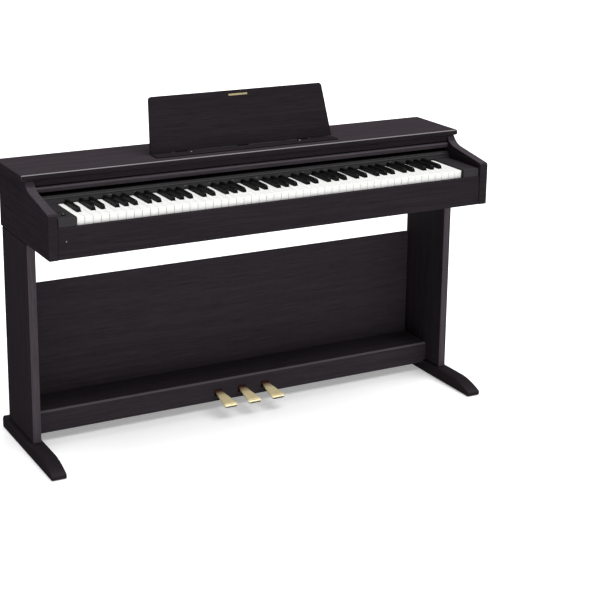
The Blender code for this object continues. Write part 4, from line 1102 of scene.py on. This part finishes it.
# ------------------------------------------------------------------------------------------
# Fascia and top board. The top is the best board of the case: its front edge is rounded over
# in one wrap of film, and it overhangs both sides. Its upward face is printed lighter than its
# front and ends, as painted light from above, and its front edge carries a strong painted
# highlight.

TOP_EASE = 0.0008
# A lighter copy of the film for the upward face, as painted light, with the full painted edge
# highlight.
top_painted_light_film = wood_film("top_film_along_x", "x", tone=0.95, roughness=0.36, edge=1.0)
finished_board("fascia", film_x)
top = finished_board("top_board", top_painted_light_film, ease=TOP_EASE)
band_front(top, film_x, lambda normal: normal.y < -0.9)
band_front(top, film_y, lambda normal: abs(normal.x) > 0.9)

# ------------------------------------------------------------------------------------------
# Sliding key cover: a thin board with a rounded grip bar along its front edge, which runs in
# grooves in the arms.

COVER_EASE = 0.0004
BAR_EASE = 0.0003
# The grip bar takes a lighter copy of the film, as painted light from above on its rounded face,
# with a painted edge highlight.
cover_bar_painted_light_film = wood_film("cover_bar_painted_light_film", "x", tone=1.25, roughness=0.42, edge=0.12)
finished_board("key_cover", film_x, "key_cover", ease=COVER_EASE)
finished_board("cover_bar", cover_bar_painted_light_film, "key_cover", ease=BAR_EASE)

# ------------------------------------------------------------------------------------------
# Music rest: a board faced with the same film, on three hinge knuckles, with a ledge in front
# for the books and two folding struts behind. A plain brass bar is stuck to the top of its face.

REST_LEAN = math.radians(16)
REST_HALF = 0.297
REST_TAPER = 0.0135
REST_LENGTH = 0.1601
REST_FRONT = 0.006
REST_HEEL = 0.002
REST_CORNER = 0.010
FACE_THICK = 0.0025
BADGE_WIDTH = 0.062
BADGE_HEIGHT = 0.0055
BADGE_AT = 0.147
BADGE_THICK = 0.0007
BADGE_SUNK = 0.0002
FACE_EASE = 0.0009
REST_EASE = 0.0004
CORNER_POINTS = 9
STRUT_PIVOT = (0.0005, 0.060)
STRUT_AT = 0.160
STRUT_EASE = 0.0002
PIN_RADIUS = 0.0009
PIN_HALF = 0.0071
PIN_EASE = 0.0003
KNUCKLES = (-0.200, 0.0, 0.200)
KNUCKLE_HALF = 0.018
KNUCKLE_PIN = 0.0011
KNUCKLE_ENDS = (0.0002, 0.0005)
LEDGE_EASE = 0.0006
HINGE_EASE = 0.0001
HINGE_SCREWS = (-0.15, -0.05, 0.05, 0.15)
HINGE_SCREW_INSET = 0.007
HINGE_SCREW_RADIUS = 0.0026
HINGE_SCREW_SUNK = 0.0003
STOP_AT = (0.178, 0.0205)
STOP_RADIUS = 0.0030

pin = Vector(next(joint["pos_m"] for joint in frame["joints"]
                  if joint["name"] == "music_rest_fold"))


def on_rest(bm, verts):
    """Lean points given on the rest upright, with its hinge line at the origin."""
    lean = Matrix.Translation(pin) @ Matrix.Rotation(-REST_LEAN, 4, "X")
    bmesh.ops.transform(bm, matrix=lean, verts=verts)


rest_film = wood_film("rest_film_along_x", "x", tone=0.48, edge=0.0)
bm = skin("music_rest")
stand_up = Matrix.Rotation(REST_LEAN, 4, "X")
for vert in bm.verts:
    upright = stand_up @ (vert.co - pin)
    if upright.y < FACE_THICK / 2 - REST_FRONT:
        upright.y = FACE_THICK / 2 - REST_FRONT
        vert.co = stand_up.inverted() @ upright + pin
ease_edges(bm, REST_EASE)
make_piece("music_rest_board", bm, rest_film, "music_rest", ["music_rest"],
           sharp=50)

slant = math.atan2(REST_TAPER, REST_LENGTH)
corner = (REST_HALF - REST_TAPER - REST_CORNER, REST_LENGTH - REST_CORNER)
outline = [(-REST_HALF, -REST_HEEL), (REST_HALF, -REST_HEEL)]
for side in (1, -1):
    turns = [slant + (math.pi / 2 - slant) * i / (CORNER_POINTS - 1) for i in range(CORNER_POINTS)]
    for turn in turns[::side]:
        outline.append((side * (corner[0] + REST_CORNER * math.cos(turn)),
                        corner[1] + REST_CORNER * math.sin(turn)))
bm = bmesh.new()
join_rings(bm, [[bm.verts.new((x, y, z)) for x, z in outline]
                for y in (-REST_FRONT, -REST_FRONT + FACE_THICK)])
ease_edges(bm, FACE_EASE, 3)
on_rest(bm, bm.verts)
make_piece("music_rest_face", bm, rest_film, "music_rest", sharp=50)

badge_brass = brushed_metal("badge_brass", (0.78, 0.66, 0.38, 1.0), 0.34, (0.01, 0.0003, 0.0003))
bm = bmesh.new()
block(bm, (-BADGE_WIDTH / 2, -REST_FRONT - BADGE_THICK, BADGE_AT - BADGE_HEIGHT / 2),
      (BADGE_WIDTH / 2, -REST_FRONT + BADGE_SUNK, BADGE_AT + BADGE_HEIGHT / 2))
ends = [edge for edge in bm.edges if abs(edge.verts[0].co.y - edge.verts[1].co.y) > NEAR]
round_over(bm, ends, BADGE_HEIGHT * 0.45, 5)
on_rest(bm, bm.verts)
make_piece("music_rest_badge", bm, badge_brass, "music_rest")

bm = bmesh.new()
for side in (-1, 1):
    profile = [(PIN_RADIUS - PIN_EASE, -PIN_HALF), (PIN_RADIUS, PIN_EASE - PIN_HALF),
               (PIN_RADIUS, PIN_HALF - PIN_EASE), (PIN_RADIUS - PIN_EASE, PIN_HALF)]
    turned(bm, profile, 16, (side * STRUT_AT, *STRUT_PIVOT), (1, 0, 0))
on_rest(bm, bm.verts)
make_piece("strut_pins", bm, zinc, "music_rest")
for side in ("left", "right"):
    strut = side + "_rest_strut"
    finished_board(strut, soft_black, strut, ease=STRUT_EASE)

finished_board("rest_ledge", rest_film, ease=LEDGE_EASE)
black_hinge = brushed_metal("blackened_hinge", (0.030, 0.030, 0.032, 1.0), 0.48)
finished_board("rest_hinge", black_hinge, ease=HINGE_EASE)
bm = bmesh.new()
near_end, far_end = [KNUCKLE_HALF + past for past in KNUCKLE_ENDS]
for x in KNUCKLES:
    turned(bm, [(PIN_RADIUS, -far_end), (KNUCKLE_PIN, -near_end), (KNUCKLE_PIN, near_end),
                (PIN_RADIUS, far_end)], 16, (x, pin.y, pin.z), (1, 0, 0))
make_piece("rest_hinge_pins", bm, zinc)
leaf_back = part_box("rest_hinge")[1].y
screw_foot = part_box("top_board")[1].z - HINGE_SCREW_SUNK
bm = bmesh.new()
for x in HINGE_SCREWS:
    screw_head(bm, (x, leaf_back - HINGE_SCREW_INSET, screw_foot), (0, 0, 1), HINGE_SCREW_RADIUS)
make_piece("rest_hinge_screws", bm, black_screws)
ledge_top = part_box("rest_ledge")[1].z
bm = bmesh.new()
for side in (-1, 1):
    screw_head(bm, (side * STOP_AT[0], STOP_AT[1], ledge_top), (0, 0, 1), STOP_RADIUS)
make_piece("rest_ledge_screws", bm, zinc)

# ------------------------------------------------------------------------------------------
# Studio: a plain pale floor, an even pale surround, and two large soft lamps.

CAMERA_PLACE = (-1.950, -3.831, 1.778)
CAMERA_YAW = math.radians(27.792)
CAMERA_PITCH = math.radians(-14.885)
CAMERA_ROLL = math.radians(0.474)
CAMERA_LENS = 90.373
CAMERA_SHIFT = (0.05, -0.15)
FLOOR_HALF = 30.0
FLOOR_GLOW = 0.29
WORLD_STRENGTH = 0.28

camera_data = bpy.data.cameras.new("camera")
camera_data.sensor_width = 36.0
camera_data.lens = CAMERA_LENS
camera_data.shift_x, camera_data.shift_y = CAMERA_SHIFT
camera_data.clip_end = 200.0
camera = new_object("camera", camera_data)
aim = Matrix.Rotation(-CAMERA_YAW, 4, "Z") @ Matrix.Rotation(math.pi / 2 + CAMERA_PITCH, 4, "X")
camera.matrix_world = Matrix.Translation(CAMERA_PLACE) @ aim @ Matrix.Rotation(CAMERA_ROLL, 4, "Z")
bpy.context.scene.camera = camera

place = new_material("floor_paper")
cloud = place.noise([0.6] * 3, 2.0)
floor_look = place.surface({
    "Emission Color": (1.0, 1.0, 1.0, 1.0), "Emission Strength": FLOOR_GLOW,
    "Base Color": cloud.blend((0.92, 0.92, 0.92, 1.0), (0.94, 0.94, 0.94, 1.0)),
    "Roughness": 0.85, "Specular IOR Level": 0.2})
bm = bmesh.new()
bmesh.ops.create_grid(bm, x_segments=1, y_segments=1, size=FLOOR_HALF)
mesh = bpy.data.meshes.new("floor")
bm.to_mesh(mesh)
bm.free()
mesh.materials.append(floor_look)
new_object("floor", mesh)

world = bpy.data.worlds.new("studio")
world.use_nodes = True
background = world.node_tree.nodes["Background"]
background.inputs["Color"].default_value = (1.0, 1.0, 1.0, 1.0)
background.inputs["Strength"].default_value = WORLD_STRENGTH
bpy.context.scene.world = world

SUN_TOWARDS = (0.18, -0.16, 0.97)
SUN_STRENGTH = 3.9
SUN_SPREAD = math.radians(70)
sun_data = bpy.data.lights.new("window_light", "SUN")
sun_data.energy = SUN_STRENGTH
sun_data.angle = SUN_SPREAD
sun = new_object("window_light", sun_data)
sun.matrix_world = Vector(SUN_TOWARDS).to_track_quat("Z", "Y").to_matrix().to_4x4()

LAMP_PLACE = (0.0, -3.2, 0.85)
LAMP_TARGET = (-0.1, 0.0, 0.35)
LAMP_SIZE = 1.6
LAMP_WATTS = 16.0
lamp_data = bpy.data.lights.new("front_fill", "AREA")
lamp_data.shape = "SQUARE"
lamp_data.size = LAMP_SIZE
lamp_data.energy = LAMP_WATTS
lamp = new_object("front_fill", lamp_data)
facing = (Vector(LAMP_TARGET) - Vector(LAMP_PLACE)).to_track_quat("-Z", "Y").to_matrix().to_4x4()
lamp.matrix_world = Matrix.Translation(LAMP_PLACE) @ facing

bpy.context.scene.view_settings.view_transform = "Standard"
